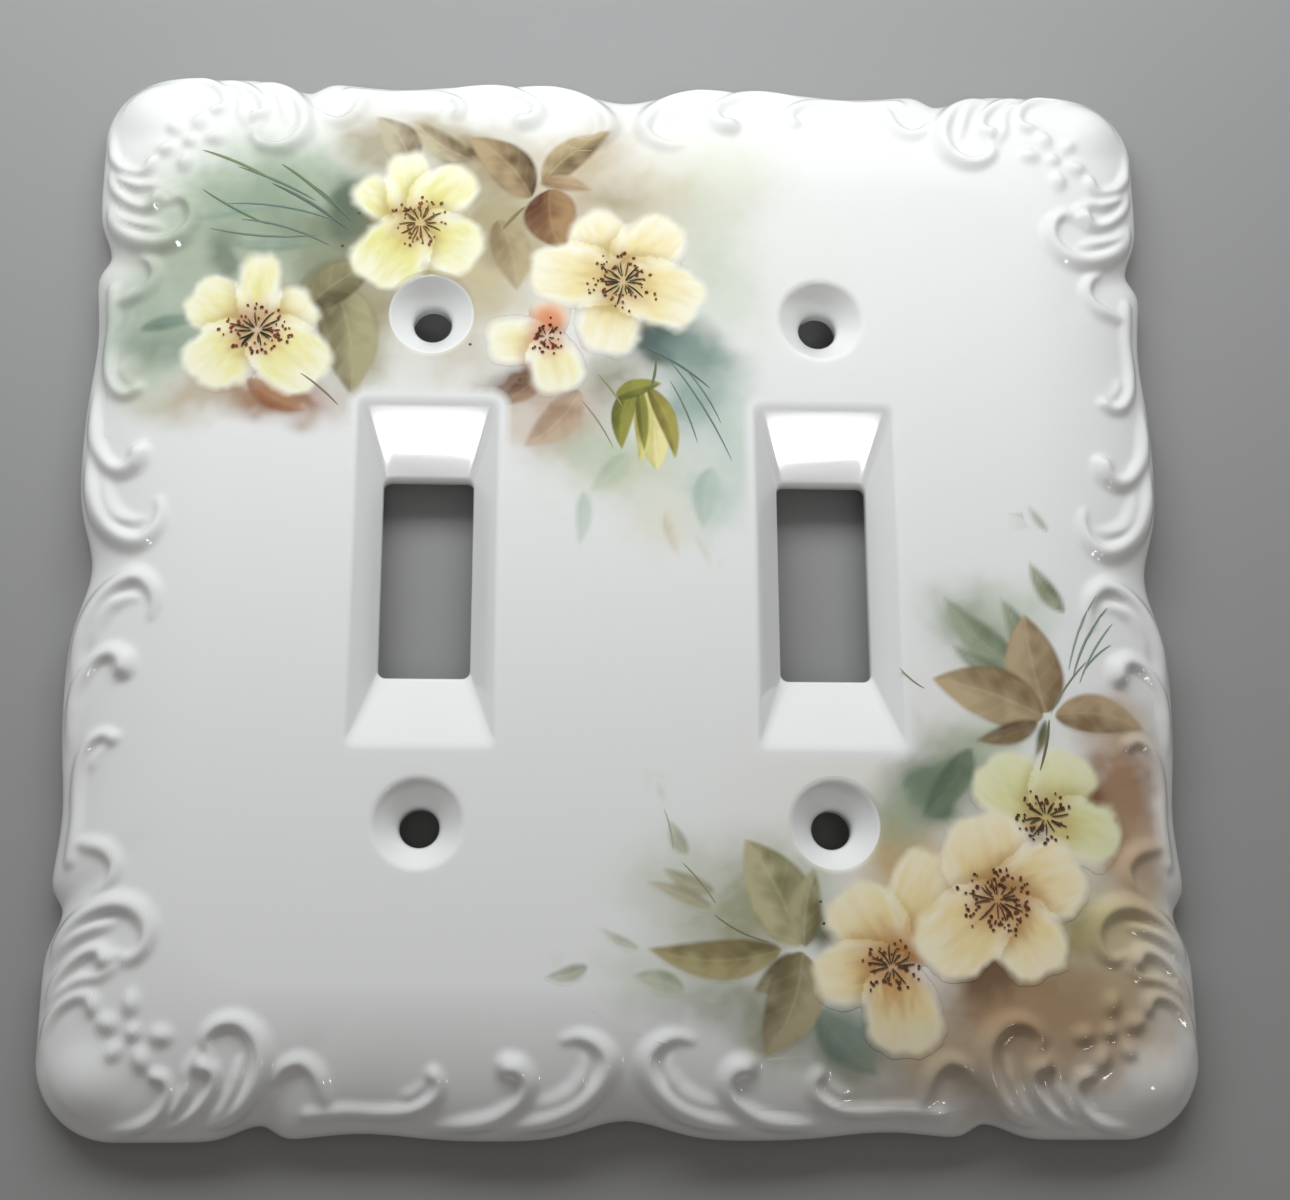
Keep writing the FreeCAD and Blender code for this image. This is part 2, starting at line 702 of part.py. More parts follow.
def export(nodes):
    os.makedirs("parts", exist_ok=True)
    for node in nodes:
        shape = node.Shape
        if shape.isNull() or not shape.isValid() or not shape.Solids:
            raise RuntimeError(f"{node.Label} has no sound shape")
        shape.exportStep(f"parts/{node.Label}.step")
        print(node.Label, len(shape.Solids), "solids", round(shape.Volume, 2), "mm3")


check_document()
export([plate] + relief + enamel)
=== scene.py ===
import math
import bmesh
import bpy
import numpy as np
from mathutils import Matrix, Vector
from mathutils.geometry import delaunay_2d_cdt


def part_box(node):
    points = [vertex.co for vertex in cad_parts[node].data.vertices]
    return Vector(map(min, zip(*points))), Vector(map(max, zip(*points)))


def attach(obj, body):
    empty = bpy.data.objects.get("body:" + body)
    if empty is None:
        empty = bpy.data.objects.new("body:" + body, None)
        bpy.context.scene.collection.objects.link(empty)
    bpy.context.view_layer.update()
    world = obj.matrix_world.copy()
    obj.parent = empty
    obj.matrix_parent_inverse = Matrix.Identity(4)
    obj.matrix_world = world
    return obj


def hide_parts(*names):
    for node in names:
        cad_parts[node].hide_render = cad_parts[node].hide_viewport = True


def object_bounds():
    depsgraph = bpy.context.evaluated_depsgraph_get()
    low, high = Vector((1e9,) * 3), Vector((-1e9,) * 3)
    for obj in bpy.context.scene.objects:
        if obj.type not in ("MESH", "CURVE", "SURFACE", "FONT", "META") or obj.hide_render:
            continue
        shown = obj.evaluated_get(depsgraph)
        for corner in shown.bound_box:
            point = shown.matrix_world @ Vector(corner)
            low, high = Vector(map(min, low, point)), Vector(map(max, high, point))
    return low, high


# Two-gang toggle switch cover in glazed porcelain, painted over the glaze with wild roses.
# Surfaces are worked out in millimetres in the frame's own axes and handed over in metres.
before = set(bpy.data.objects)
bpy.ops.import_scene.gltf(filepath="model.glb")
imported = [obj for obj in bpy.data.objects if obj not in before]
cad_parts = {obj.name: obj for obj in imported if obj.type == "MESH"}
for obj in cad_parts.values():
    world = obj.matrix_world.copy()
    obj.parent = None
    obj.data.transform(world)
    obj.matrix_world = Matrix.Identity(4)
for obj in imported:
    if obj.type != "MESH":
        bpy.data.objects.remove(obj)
cad_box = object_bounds()

# ------------------------------------------------------------------ porcelain casting
# One slip-cast porcelain shell with an open back: a pillow-shaped face, two bevelled toggle
# wells, four countersunk screw seats, and scroll ornament cast in one with the border.

MM = 0.001
PLATE_HALF = cad_box[1].x / MM                      # middle to the furthest bulge of the edge
FACE_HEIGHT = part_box("plate_body")[1].z / MM
CORNER_RADIUS = 9.0
LIP_HEIGHT = 1.7                                    # where the rolled edge is widest
LIP_TUCK = 1.7                                      # how far the edge rolls back in to the wall
SLOPE_WIDTH = 16.0                                  # edge to the flat of the face
EDGE_DIVISIONS = 151                                # straight of half a side
CORNER_DIVISIONS = 17                               # half a corner


def notch_depth(along):
    """Dip of the edge: a wide bell mid-side, a shallow one halfway, and a short one that is
    steeper towards the middle where the corner ornament begins."""
    steep = np.where(along < 39.4, 2.0, 3.4)
    return (
        2.1 * np.exp(-((along / 6.0) ** 2))
        + 0.85 * np.exp(-(((along - 28.5) / 7.0) ** 2))
        + 1.6 * np.exp(-(((along - 39.4) / steep) ** 2))
    )


def notch_share(inset):
    """How much of the notches a level line still shows: all at the edge, none 14 mm in."""
    return np.clip(1 - inset / 14, 0, 1) ** 1.3


def slope_height(inset):
    """Superellipse from the lip, where it is upright, to the flat of the face."""
    share = np.clip(1 - inset / SLOPE_WIDTH, 0, 1)
    return LIP_HEIGHT + (FACE_HEIGHT - LIP_HEIGHT) * (1 - share**1.6) ** (1 / 1.9)


def level_line(inset, notched):
    """Closed outline at one inset: half a side (straight with its notches, then an eighth of a
    circle) mirrored in the diagonal, and that quarter turned four times."""
    half = PLATE_HALF - inset
    straight = half - CORNER_RADIUS
    along = np.linspace(0, straight, EDGE_DIVISIONS, endpoint=False)
    dip = notched * notch_depth(along * PLATE_HALF / half)
    turn = np.linspace(0, math.pi / 4, CORNER_DIVISIONS + 1)
    x = np.r_[half - dip, straight + CORNER_RADIUS * np.cos(turn)]
    y = np.r_[along, straight + CORNER_RADIUS * np.sin(turn)]
    quarter = np.c_[np.r_[x, y[-2:0:-1]], np.r_[y, x[-2:0:-1]]]
    turned = [quarter]
    for _ in range(3):
        turned.append(turned[-1] @ np.array([[0, 1], [-1, 0]]))
    return np.vstack(turned)


def inset_at(x, y):
    """Distance in from the edge at a place on the face: level lines are squares with round
    corners, and each notch is taken off by repeating the sum four times."""
    near, far = np.minimum(abs(x), abs(y)), np.maximum(abs(x), abs(y))
    centre = PLATE_HALF - CORNER_RADIUS
    a, b = near - centre, far - centre
    rounded = (np.sqrt(np.maximum(2 * CORNER_RADIUS**2 - (a - b) ** 2, 0)) - a - b) / 2
    plain = np.where(near > far - CORNER_RADIUS, rounded, PLATE_HALF - far)
    inset = plain
    for _ in range(4):
        half = np.maximum(PLATE_HALF - inset, 1)
        inset = plain - notch_share(inset) * notch_depth(near * PLATE_HALF / half) * (near < centre)
    return inset


# Ridges of the ornament over half a side, tail to head: the route as (distance from the
# middle of the side, distance from the middle of the plate), then along it the height, the
# width of the outer flank and the width of the inner flank. All eight half sides are alike.
RIDGES = [
    # large scroll beside the middle notch, and the rib inside it
    ([(15.0, 62.7), (9.5, 61.6), (5.6, 59.9), (3.1, 57.6), (2.3, 55.4), (3.4, 53.8), (5.2, 53.1),
      (6.8, 53.4)],
     [0.2, 0.7, 1.1, 1.3, 1.35, 1.25, 1.0, 0.5], [2.0, 2.4, 2.6, 2.7, 2.6, 2.4, 1.8, 1.2],
     [1.3, 1.4, 1.3, 1.2, 1.1, 1.2, 1.1, 0.9]),
    ([(11.0, 60.6), (7.4, 59.7), (5.3, 58.3), (4.5, 56.4), (4.6, 55.2)],
     [0.1, 0.6, 0.85, 0.9, 0.4], [1.0, 1.1, 1.1, 1.1, 0.9], [1.4, 1.8, 2.0, 1.8, 1.2]),
    # two commas, the outer one with a long ribbon and a short rib
    ([(22.5, 62.5), (18.0, 62.1), (14.4, 61.3), (11.9, 59.6), (10.9, 57.8), (11.6, 56.3), (12.8, 56.0)],
     [0.1, 0.6, 0.9, 1.0, 1.0, 1.1, 1.1], [1.2, 1.8, 2.0, 2.1, 2.0, 2.0, 2.0],
     [1.0, 1.3, 1.4, 1.2, 1.0, 1.4, 1.8]),
    ([(34.0, 60.9), (30.0, 60.6), (26.0, 60.7), (22.8, 60.3), (20.8, 59.2), (20.2, 57.8), (20.7, 56.8)],
     [0.7, 0.75, 0.7, 0.8, 0.95, 0.95, 0.7], [1.5, 1.5, 1.5, 1.6, 1.6, 1.6, 1.3],
     [1.3, 1.3, 1.2, 1.1, 1.0, 0.9, 1.0]),
    ([(25.0, 59.4), (23.0, 59.0), (21.9, 58.2)], [0.0, 0.5, 0.4], [0.9, 1.0, 0.8], [1.2, 1.5, 1.2]),
    # hook beside the side notch
    ([(32.0, 61.2), (32.5, 58.9), (33.2, 56.9), (34.8, 55.7), (36.5, 56.2), (37.4, 57.4)],
     [0.4, 0.7, 0.9, 0.95, 0.9, 0.5], [1.6, 1.9, 2.0, 2.0, 1.6, 1.2], [1.0, 1.1, 1.1, 1.0, 0.9, 0.8]),
    # corner scroll with its rib
    ([(46.0, 62.5), (42.6, 61.0), (40.3, 58.6), (39.2, 55.8), (39.6, 53.3), (41.4, 51.7), (43.5, 51.8),
      (44.8, 53.2), (44.2, 55.0)],
     [0.1, 0.8, 1.15, 1.3, 1.35, 1.35, 1.25, 1.1, 0.5], [1.2, 1.8, 2.1, 2.3, 2.4, 2.4, 1.9, 1.4, 1.0],
     [0.9, 1.1, 1.1, 1.1, 1.1, 1.1, 1.0, 0.9, 0.8]),
    ([(45.0, 61.6), (43.0, 60.4), (41.8, 58.4), (41.2, 56.2), (41.1, 54.9)],
     [0.2, 0.9, 1.1, 1.0, 0.4], [0.8, 0.9, 0.9, 0.9, 0.7], [1.0, 1.3, 1.4, 1.3, 0.9]),
    # two commas on the way to the corner, with a rib between them
    ([(51.0, 62.8), (48.0, 61.8), (45.7, 60.2), (44.2, 58.2), (44.0, 56.6), (45.0, 55.9)],
     [0.1, 0.6, 0.9, 1.0, 1.05, 1.1], [1.1, 1.4, 1.5, 1.4, 1.4, 1.6], [0.9, 1.0, 0.9, 0.8, 0.9, 1.4]),
    ([(49.6, 62.0), (47.9, 60.4), (46.7, 58.2), (46.6, 56.4), (45.7, 54.6)],
     [0.2, 0.9, 1.0, 0.8, 0.5], [0.8, 0.9, 0.9, 0.8, 0.7], [1.0, 1.3, 1.4, 1.2, 0.8]),
    ([(56.5, 63.2), (52.6, 62.4), (50.0, 60.9), (48.8, 58.9), (49.0, 57.4), (50.1, 57.0)],
     [0.1, 0.6, 0.85, 0.95, 0.9, 0.8], [1.1, 1.4, 1.5, 1.4, 1.3, 1.2], [0.9, 1.1, 1.1, 0.9, 0.9, 1.0]),
]
# Round heads of the commas, and the small hollows inside the curls: place, radii, height.
HEADS = [
    ((12.4, 56.5), (2.3, 2.3), 0.45), ((20.9, 57.0), (1.5, 1.5), 0.3),
    ((45.0, 56.0), (2.0, 2.0), 0.35), ((49.7, 57.2), (1.6, 1.6), 0.25),
]
HOLLOWS = [
    ((12.9, 58.5), (1.9, 1.5), -0.75), ((35.3, 58.4), (2.3, 2.4), -1.0), ((42.2, 54.0), (2.1, 1.6), -1.2),
    ((45.6, 57.7), (1.3, 1.3), -0.7), ((50.6, 58.6), (1.8, 1.4), -0.5),
]
FLOWER_PLACE = 52.5                                 # along both sides
PETAL_DIRECTIONS = (173, 108, 45, -18, -83)
KNOB_PLACE = 57.9
KNOB_RISE = 1.25
FIELD_STEP = 0.12
FIELD_START = 46.0                                  # the ornament lies outside this


def through_points(points, count):
    """A smooth curve through given points: on each span a cubic whose end directions run parallel to the line
    between the two neighbouring points."""
    p = np.asarray(points, float)
    p = np.vstack([2 * p[0] - p[1], p, 2 * p[-1] - p[-2]])
    place = np.linspace(0, len(p) - 3, count)
    span = np.minimum(place.astype(int), len(p) - 4)
    u = (place - span)[:, None]
    a, b, c, d = p[span], p[span + 1], p[span + 2], p[span + 3]
    return 0.5 * (2 * b + (c - a) * u + (2 * a - 5 * b + 4 * c - d) * u**2 + (3 * b - a - 3 * c + d) * u**3)


def dome(distance):
    """Raised cosine: one at no distance, falling smoothly to nothing at one."""
    return 0.5 + 0.5 * np.cos(np.pi * np.clip(distance, 0, 1))


def spot(x, y, place, radii):
    """An elliptic dome of height one about a place."""
    return dome(np.hypot((x - place[0]) / radii[0], (y - place[1]) / radii[1]))


def blend_up(a, b, softness):
    """The larger of two heights, with the crease between them rounded by a parabola."""
    share = np.clip(0.5 + 0.5 * (a - b) / softness, 0, 1)
    return b + (a - b) * share + softness * share * (1 - share)


def along_curve(x, y, curve):
    """For each place the distance to a curve, the share of the curve's length passed there,
    and the side it lies on: the nearest point is looked for on each straight bit in turn."""
    length = np.r_[0, np.cumsum(np.hypot(*np.diff(curve, axis=0).T))]
    nearest = np.full(x.shape, 1e9)
    share, side = np.zeros(x.shape), np.zeros(x.shape)
    for k in range(len(curve) - 1):
        ex, ey = curve[k + 1] - curve[k]
        dx, dy = x - curve[k, 0], y - curve[k, 1]
        t = np.clip((dx * ex + dy * ey) / (ex * ex + ey * ey), 0, 1)
        apart = (dx - t * ex) ** 2 + (dy - t * ey) ** 2
        closer = apart < nearest
        nearest = np.where(closer, apart, nearest)
        share = np.where(closer, length[k] + t * (length[k + 1] - length[k]), share)
        side = np.where(closer, ex * dy - ey * dx, side)
    return np.sqrt(nearest), share / length[-1], side


def spread(share, values):
    """Values given evenly along a curve, read off at a share of its length."""
    return np.interp(share, np.linspace(0, 1, len(values)), values)


def ridge_height(x, y, route, height, outer, inner):
    """A rib with a raised-cosine section whose height and two flank widths change along it."""
    distance, share, side = along_curve(x, y, through_points(route, 50))
    width = np.where(side > 0, spread(share, inner), spread(share, outer))
    return spread(share, height) * dome(distance / width)


def flower_height(x, y):
    """Five oval petals and a bead about the point where the corner flower sits."""
    x, y = x - FLOWER_PLACE, y - FLOWER_PLACE
    height = spot(x, y, (0, 0), (1.4, 1.4))
    for degrees in PETAL_DIRECTIONS:
        c, s = math.cos(math.radians(degrees)), math.sin(math.radians(degrees))
        petal = spot(x * c + y * s, y * c - x * s, (3.0, 0), (2.2, 1.6))
        height = blend_up(height, petal, 0.15)
    return height


def softened(height, reach):
    """Blurs a height field with a bell in both directions, as the glaze fills its creases."""
    steps = int(3 * reach / FIELD_STEP) + 1
    bell = np.exp(-((np.arange(-steps, steps + 1) * FIELD_STEP / reach) ** 2) / 2)
    bell /= bell.sum()
    for axis in (0, 1):
        padded = np.pad(height, [(steps, steps) if k == axis else (0, 0) for k in (0, 1)], mode="edge")
        rows = height.shape[axis]
        height = sum(w * np.take(padded, np.arange(k, k + rows), axis) for k, w in enumerate(bell))
    return height


def ornament_field():
    """Height of the ornament over half a side, on a square grid from the middle of the side to
    past the corner; beyond the diagonal it is the mirror image."""
    run = np.arange(0, PLATE_HALF + 1, FIELD_STEP)
    out = np.arange(FIELD_START, PLATE_HALF + 1, FIELD_STEP)
    along, across = np.meshgrid(run, out)
    near, far = np.minimum(along, across), np.maximum(along, across)
    height = np.zeros(near.shape)
    for ridge in RIDGES:
        height = blend_up(height, ridge_height(near, far, *ridge), 0.12)
    for place, radii, rise in HEADS + HOLLOWS:
        height = height + rise * spot(near, far, place, radii)
    height = blend_up(height, flower_height(near, far), 0.15)
    knob = KNOB_RISE * dome(np.hypot(near - KNOB_PLACE, far - KNOB_PLACE) / 6.5)
    height = softened(blend_up(height, knob, 0.3), 0.24)
    return height - height[0, 0]                    # the blends lift bare places a little


ORNAMENT = ornament_field()


def ornament_height(x, y):
    """The ornament at a place on the face: the field folded to it and read between four points,
    faded out over the last millimetre and a half before the edge."""
    near, far = np.minimum(abs(x), abs(y)), np.maximum(abs(x), abs(y))
    column = np.clip(near / FIELD_STEP, 0, ORNAMENT.shape[1] - 1.001)
    row = np.clip((far - FIELD_START) / FIELD_STEP, 0, ORNAMENT.shape[0] - 1.001)
    i, j = row.astype(int), column.astype(int)
    u, v = row - i, column - j
    top = ORNAMENT[i, j] * (1 - v) + ORNAMENT[i, j + 1] * v
    bottom = ORNAMENT[i + 1, j] * (1 - v) + ORNAMENT[i + 1, j + 1] * v
    fade = np.clip(inset_at(x, y) / 1.6, 0, 1)
    inner = 1 - 0.022 * np.clip(inset_at(x, y) - 3, 0, 12)
    return (top * (1 - u) + bottom * u) * fade * inner * (far > FIELD_START)


def face_point(x, y, height, lift=0.0):
    """Point of the finished surface over a place where the bare pillow has this height: the
    ornament and any lift are measured along the pillow's normal, found from the heights close by."""
    h = 0.05
    slope_x = (slope_height(inset_at(x + h, y)) - slope_height(inset_at(x - h, y))) / (2 * h)
    slope_y = (slope_height(inset_at(x, y + h)) - slope_height(inset_at(x, y - h))) / (2 * h)
    rise = (ornament_height(x, y) + lift) / np.sqrt(slope_x**2 + slope_y**2 + 1)
    return np.stack([x - slope_x * rise, y - slope_y * rise, height + rise], -1)


def rounded_profile(corners, radii, steps=6):
    """A bent line through corner points whose inner corners are replaced by parabolas that
    start and end the given distance away from the corner."""
    p = np.asarray(corners, float)
    points = [p[0]]
    for k in range(1, len(p) - 1):
        back, on = p[k - 1] - p[k], p[k + 1] - p[k]
        reach = min(radii[k - 1], 0.48 * np.linalg.norm(back), 0.48 * np.linalg.norm(on))
        start = p[k] + back / np.linalg.norm(back) * reach
        end = p[k] + on / np.linalg.norm(on) * reach
        t = np.linspace(0, 1, steps)[:, None]
        points.extend((1 - t) ** 2 * start + 2 * t * (1 - t) * p[k] + t**2 * end)
    points.append(p[-1])
    return np.array(points)


def rounded_rectangle(half_width, half_length, radius, across=10, along=28, corner=8):
    """Closed outline of a rectangle with round corners, anticlockwise from its lower right."""
    turn = np.linspace(0, math.pi / 2, corner, endpoint=False)
    w, l = half_width - radius, half_length - radius
    points = []
    corners = [(w, -l, along), (w, l, across), (-w, l, along), (-w, -l, across)]
    runs = np.array([(0, 2 * l), (-2 * w, 0), (0, -2 * l), (2 * w, 0)])
    for quarter, (cx, cy, steps) in enumerate(corners):
        angle = turn + (quarter - 1) * math.pi / 2
        arc = np.c_[cx + radius * np.cos(angle), cy + radius * np.sin(angle)]
        end = angle[-1] + turn[1]
        start = np.array([cx + radius * math.cos(end), cy + radius * math.sin(end)])
        line = start + np.linspace(0, 1, steps, endpoint=False)[:, None] * runs[quarter]
        points += [arc, line]
    return np.vstack(points)


def raise_outline(outline, height):
    """The points of a flat outline lifted to one height."""
    return np.c_[outline, np.full(len(outline), height)]


class Casting:
    """Collects the strips and flats of one closed shell; places are millimetres."""

    def __init__(self):
        self.points, self.faces, self.count = [], [], 0

    def strip(self, rows):
        """Quads between neighbouring closed rows of points; returns the points' numbers."""
        rows = np.asarray(rows)
        numbers = np.arange(rows.shape[0] * rows.shape[1]).reshape(rows.shape[:2]) + self.count
        self.points.append(rows.reshape(-1, 3))
        self.count += numbers.size
        a, b = numbers[:-1], np.roll(numbers[:-1], -1, 1)
        c, d = np.roll(numbers[1:], -1, 1), numbers[1:]
        self.faces += np.stack([a, b, c, d], -1).reshape(-1, 4).tolist()
        return numbers

    def flat(self, loops, spacing, up):
        """Fills the flat region between closed loops with triangles, with loose points a given
        distance apart inside it so that none gets long and thin."""
        points = np.vstack(self.points)
        ring = np.concatenate(loops)
        height = points[ring[0], 2]
        edges, start = [], 0
        for loop in loops:
            size = len(loop)
            edges += [(start + k, start + (k + 1) % size) for k in range(size)]
            start += size
        reach = abs(points[ring, :2]).max()
        ticks = np.arange(-reach, reach, spacing) + spacing / 2
        inner = np.stack(np.meshgrid(ticks, ticks), -1).reshape(-1, 2)
        gap = min_distance(inner, points[ring, :2])
        inner = inner[gap > 0.6 * spacing]
        every = np.vstack([points[ring, :2], inner])
        found = delaunay_2d_cdt([Vector(p) for p in every], edges, [], 0, 1e-6)
        triangles = np.array([old[0] for old in found[3]])[np.array(found[2])]
        middles = every[triangles].mean(1)
        kept = within(middles, points[loops[0], :2])
        for loop in loops[1:]:
            kept &= ~within(middles, points[loop, :2])
        numbers = np.r_[ring, self.count + np.arange(len(inner))]
        self.points.append(np.c_[inner, np.full(len(inner), height)])
        self.count += len(inner)
        self.faces += numbers[triangles[kept] if up else triangles[kept, ::-1]].tolist()

    def mesh(self, name):
        """The shell as a mesh with smooth faces, all turned outward."""
        mesh = bpy.data.meshes.new(name)
        mesh.from_pydata((np.vstack(self.points) * MM).tolist(), [], self.faces)
        work = bmesh.new()
        work.from_mesh(mesh)
        loose = [v for v in work.verts if not v.link_faces]
        bmesh.ops.delete(work, geom=loose, context="VERTS")
        bmesh.ops.recalc_face_normals(work, faces=work.faces)
        work.to_mesh(mesh)
        work.free()
        mesh.polygons.foreach_set("use_smooth", np.ones(len(mesh.polygons), bool))
        return mesh


def within(places, outline):
    """Which places lie inside a closed outline: a line towards +X crosses it an odd number of
    times."""
    x, y = places[:, :1], places[:, 1:]
    x0, y0 = outline.T
    x1, y1 = np.roll(outline, -1, 0).T
    spans = (y0 > y) != (y1 > y)
    with np.errstate(divide="ignore", invalid="ignore"):
        crossing = x0 + (y - y0) * (x1 - x0) / (y1 - y0)
    return (spans & (x < crossing)).sum(1) % 2 == 1


def min_distance(places, others):
    """Distance from each place to the nearest of the others, in slices that fit in memory."""
    slices = np.array_split(places, max(1, len(places) // 400))
    return np.concatenate([np.sqrt(((s[:, None] - others[None]) ** 2).sum(-1)).min(1) for s in slices])


SLOPE_ROWS = 52
GANG_PLACE = 23.02                                  # wells and seats either side of the middle
WELL_SHIFT = -1.1
SEAT_PLACE = 30.165


def slope_strip():
    """Rows from the flat of the face out to the lip, equal distances apart along the slope,
    and on round a quarter ellipse to the foot on the wall."""
    inset = np.linspace(SLOPE_WIDTH + 0.4, 0, 2000)
    height = slope_height(inset)
    run = np.r_[0, np.cumsum(np.hypot(np.diff(inset), np.diff(height)))]
    even = np.linspace(0, run[-1], SLOPE_ROWS)
    rows = []
    for d in np.interp(even, run, inset):
        line = level_line(d, notch_share(d))
        rows.append(face_point(line[:, 0], line[:, 1], slope_height(d)))
    for turn in np.linspace(0, math.pi / 2, 7)[1:]:
        tuck = 1 - math.cos(turn)
        line = level_line(LIP_TUCK * tuck, 1 - 0.1 * tuck)
        rows.append(raise_outline(line, LIP_HEIGHT * (1 - math.sin(turn))))
    return np.array(rows)


def seat_strip(x, y):
    """A screw seat turned about its axis: rim, cone, bore, and the boss behind it."""
    corners = [(6.2, 8.4), (5.0, 8.4), (2.2, 5.18), (2.2, 3.0), (6.5, 3.0), (6.5, 4.6), (8.0, 4.6)]
    profile = rounded_profile(corners, [0.8, 0.7, 0.3, 0.5, 0.8], 7)
    turn = np.linspace(0, 2 * math.pi, 72, endpoint=False)
    circle = np.c_[np.cos(turn), np.sin(turn)]
    return np.array([raise_outline(circle * radius + (x, y), height) for radius, height in profile])


def well_strip(x, y):
    """A toggle well: soft mouth, funnel of four bevels, straight slot, and the boss behind it.
    Each row is a round-cornered rectangle: half width, half length, corner radius, height."""
    corners = [
        (9.8, 22.3, 2.6, 8.4), (8.2, 20.5, 1.0, 8.4), (5.2, 11.8, 0.9, 4.4), (5.2, 11.8, 0.9, 3.0),
        (9.5, 19.5, 4.0, 3.0), (9.5, 19.5, 4.0, 4.6), (11.0, 21.0, 5.0, 4.6),
    ]
    profile = rounded_profile(corners, [0.9, 0.6, 0.3, 0.5, 0.8], 8)
    return np.array([raise_outline(rounded_rectangle(w, l, r) + (x, y), z) for w, l, r, z in profile])


def hollow_strip():
    """The wall of the open back, from the foot's inner edge up to the underside of the face."""
    corners = [(-0.6, 0.0), (0.0, 0.0), (2.6, 2.76), (8.0, 4.6), (10.0, 4.6)]
    profile = rounded_profile(corners, [0.5, 2.0, 1.8], 5)
    rows = []
    for inset, height in profile:
        half = 58.2 - inset
        rows.append(raise_outline(rounded_rectangle(half, half, CORNER_RADIUS, 40, 40, 10), height))
    return np.array(rows)


def make_casting():
    """The whole shell as one closed mesh: the strips, and the three flats that join them."""
    shell = Casting()
    slope = shell.strip(slope_strip())
    hollow = shell.strip(hollow_strip())
    places = [(i * GANG_PLACE, j * SEAT_PLACE) for i in (-1, 1) for j in (-1, 1)]
    holes = [shell.strip(seat_strip(x, y)) for x, y in places]
    holes += [shell.strip(well_strip(i * GANG_PLACE, WELL_SHIFT)) for i in (-1, 1)]
    shell.flat([slope[0]] + [hole[0] for hole in holes], 2.5, True)
    shell.flat([slope[-1], hollow[0]], 2.0, False)
    shell.flat([hollow[-1]] + [hole[-1] for hole in holes], 4.0, False)
    return shell.mesh("plate_casting")


def add_piece(mesh, material, nodes):
    """Puts a finished mesh in the scene on the plate's one body, standing for its CAD nodes."""
    piece = bpy.data.objects.new(mesh.name, mesh)
    bpy.context.scene.collection.objects.link(piece)
    mesh.materials.append(material)
    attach(piece, "root")
    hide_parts(*nodes)
    return piece


class Wire:
    """A value in a shader; arithmetic on it adds the Math node that works it out."""

    def __init__(self, shader, socket):
        self.shader, self.socket = shader, socket

    def math(self, operation, *values):
        return self.shader.add("ShaderNodeMath", {"operation": operation}, *values)

    def __add__(self, other):
        return self.math("ADD", self, other)

    def __sub__(self, other):
        return self.math("SUBTRACT", self, other)

    def __mul__(self, other):
        return self.math("MULTIPLY", self, other)

    def __rsub__(self, other):
        return self.math("SUBTRACT", other, self)

    __radd__, __rmul__ = __add__, __mul__


class Shader:
    """A new material's node tree with its Principled surface."""

    def __init__(self, name):
        self.material = bpy.data.materials.new(name)
        self.material.use_nodes = True
        self.tree = self.material.node_tree
        self.surface = self.tree.nodes["Principled BSDF"]

    def add(self, kind, settings, *values, out=0, **named):
        """Adds a node: its settings first, then its sockets by order or by name."""
        node = self.tree.nodes.new(kind)
        for key, value in settings.items():
            setattr(node, key, value)
        for key, value in enumerate(values):
            self.put(node.inputs[key], value)
        self.fill(node, named)
        return Wire(self, node.outputs[out])

    def fill(self, node, named):
        """Sets sockets by identifier or by name, whose spaces are written as underscores."""
        for key, value in named.items():
            names = (key, key.replace("_", " "))
            self.put(next(s for s in node.inputs if s.identifier in names or s.name in names), value)

    def put(self, socket, value):
        """Links a wire to a socket, or sets a plain value on it."""
        if isinstance(value, Wire):
            self.tree.links.new(value.socket, socket)
        else:
            socket.default_value = value

    def finish(self, **sockets):
        """Sets the surface's own sockets and hands over the material."""
        self.fill(self.surface, sockets)
        return self.material


def glazed(name, roughness=0.16):
    """Fired glaze: a hard clear coat with a faint orange-peel ripple over a white body that
    takes its painted colour from the mesh; the foot that stood in the kiln is bare and matt."""
    shader = Shader(name)
    place = shader.add("ShaderNodeTexCoord", {}, out="Object")
    painted = shader.add("ShaderNodeAttribute", {"attribute_name": "painting"})
    height = shader.add("ShaderNodeSeparateXYZ", {}, place, out=2)
    bare = shader.add("ShaderNodeMapRange", {}, height, 0.0012, 0.0004, 0.0, 1.0)
    drift = shader.add("ShaderNodeTexNoise", {}, Vector=place, Scale=28.0, Detail=2.0)
    grain = shader.add("ShaderNodeTexNoise", {}, Vector=place, Scale=1500.0, Detail=2.0)
    ripple = shader.add("ShaderNodeTexNoise", {}, Vector=place, Scale=420.0, Detail=3.0)
    colour = shader.add(
        "ShaderNodeMix", {"data_type": "RGBA"}, bare, A_Color=painted, B_Color=(0.74, 0.69, 0.62, 1), out=2
    )
    matt = roughness + 0.05 * (drift - 0.5) + 0.5 * bare
    relief = 0.7 * drift * (1 - bare) + 0.05 * ripple + 0.1 * grain * bare
    bump = shader.add("ShaderNodeBump", {}, Strength=0.25, Distance=0.0004, Height=relief)
    return shader.finish(
        Base_Color=colour, Roughness=matt, Normal=bump, Coat_Weight=1 - bare, Coat_Roughness=0.05,
        Coat_IOR=1.5, IOR=1.45,
    )


def paint_mesh(mesh, colours):
    """Stores one linear colour for each point of a mesh, which its glaze reads."""
    layer = mesh.color_attributes.new("painting", "FLOAT_COLOR", "POINT")
    layer.data.foreach_set("color", np.c_[colours, np.ones(len(colours))].astype(np.float32).ravel())


def mesh_points(mesh):
    """The mesh's points as an array, in millimetres."""
    flat = np.empty(len(mesh.vertices) * 3, np.float32)
    mesh.vertices.foreach_get("co", flat)
    return flat.reshape(-1, 3).astype(float) / MM


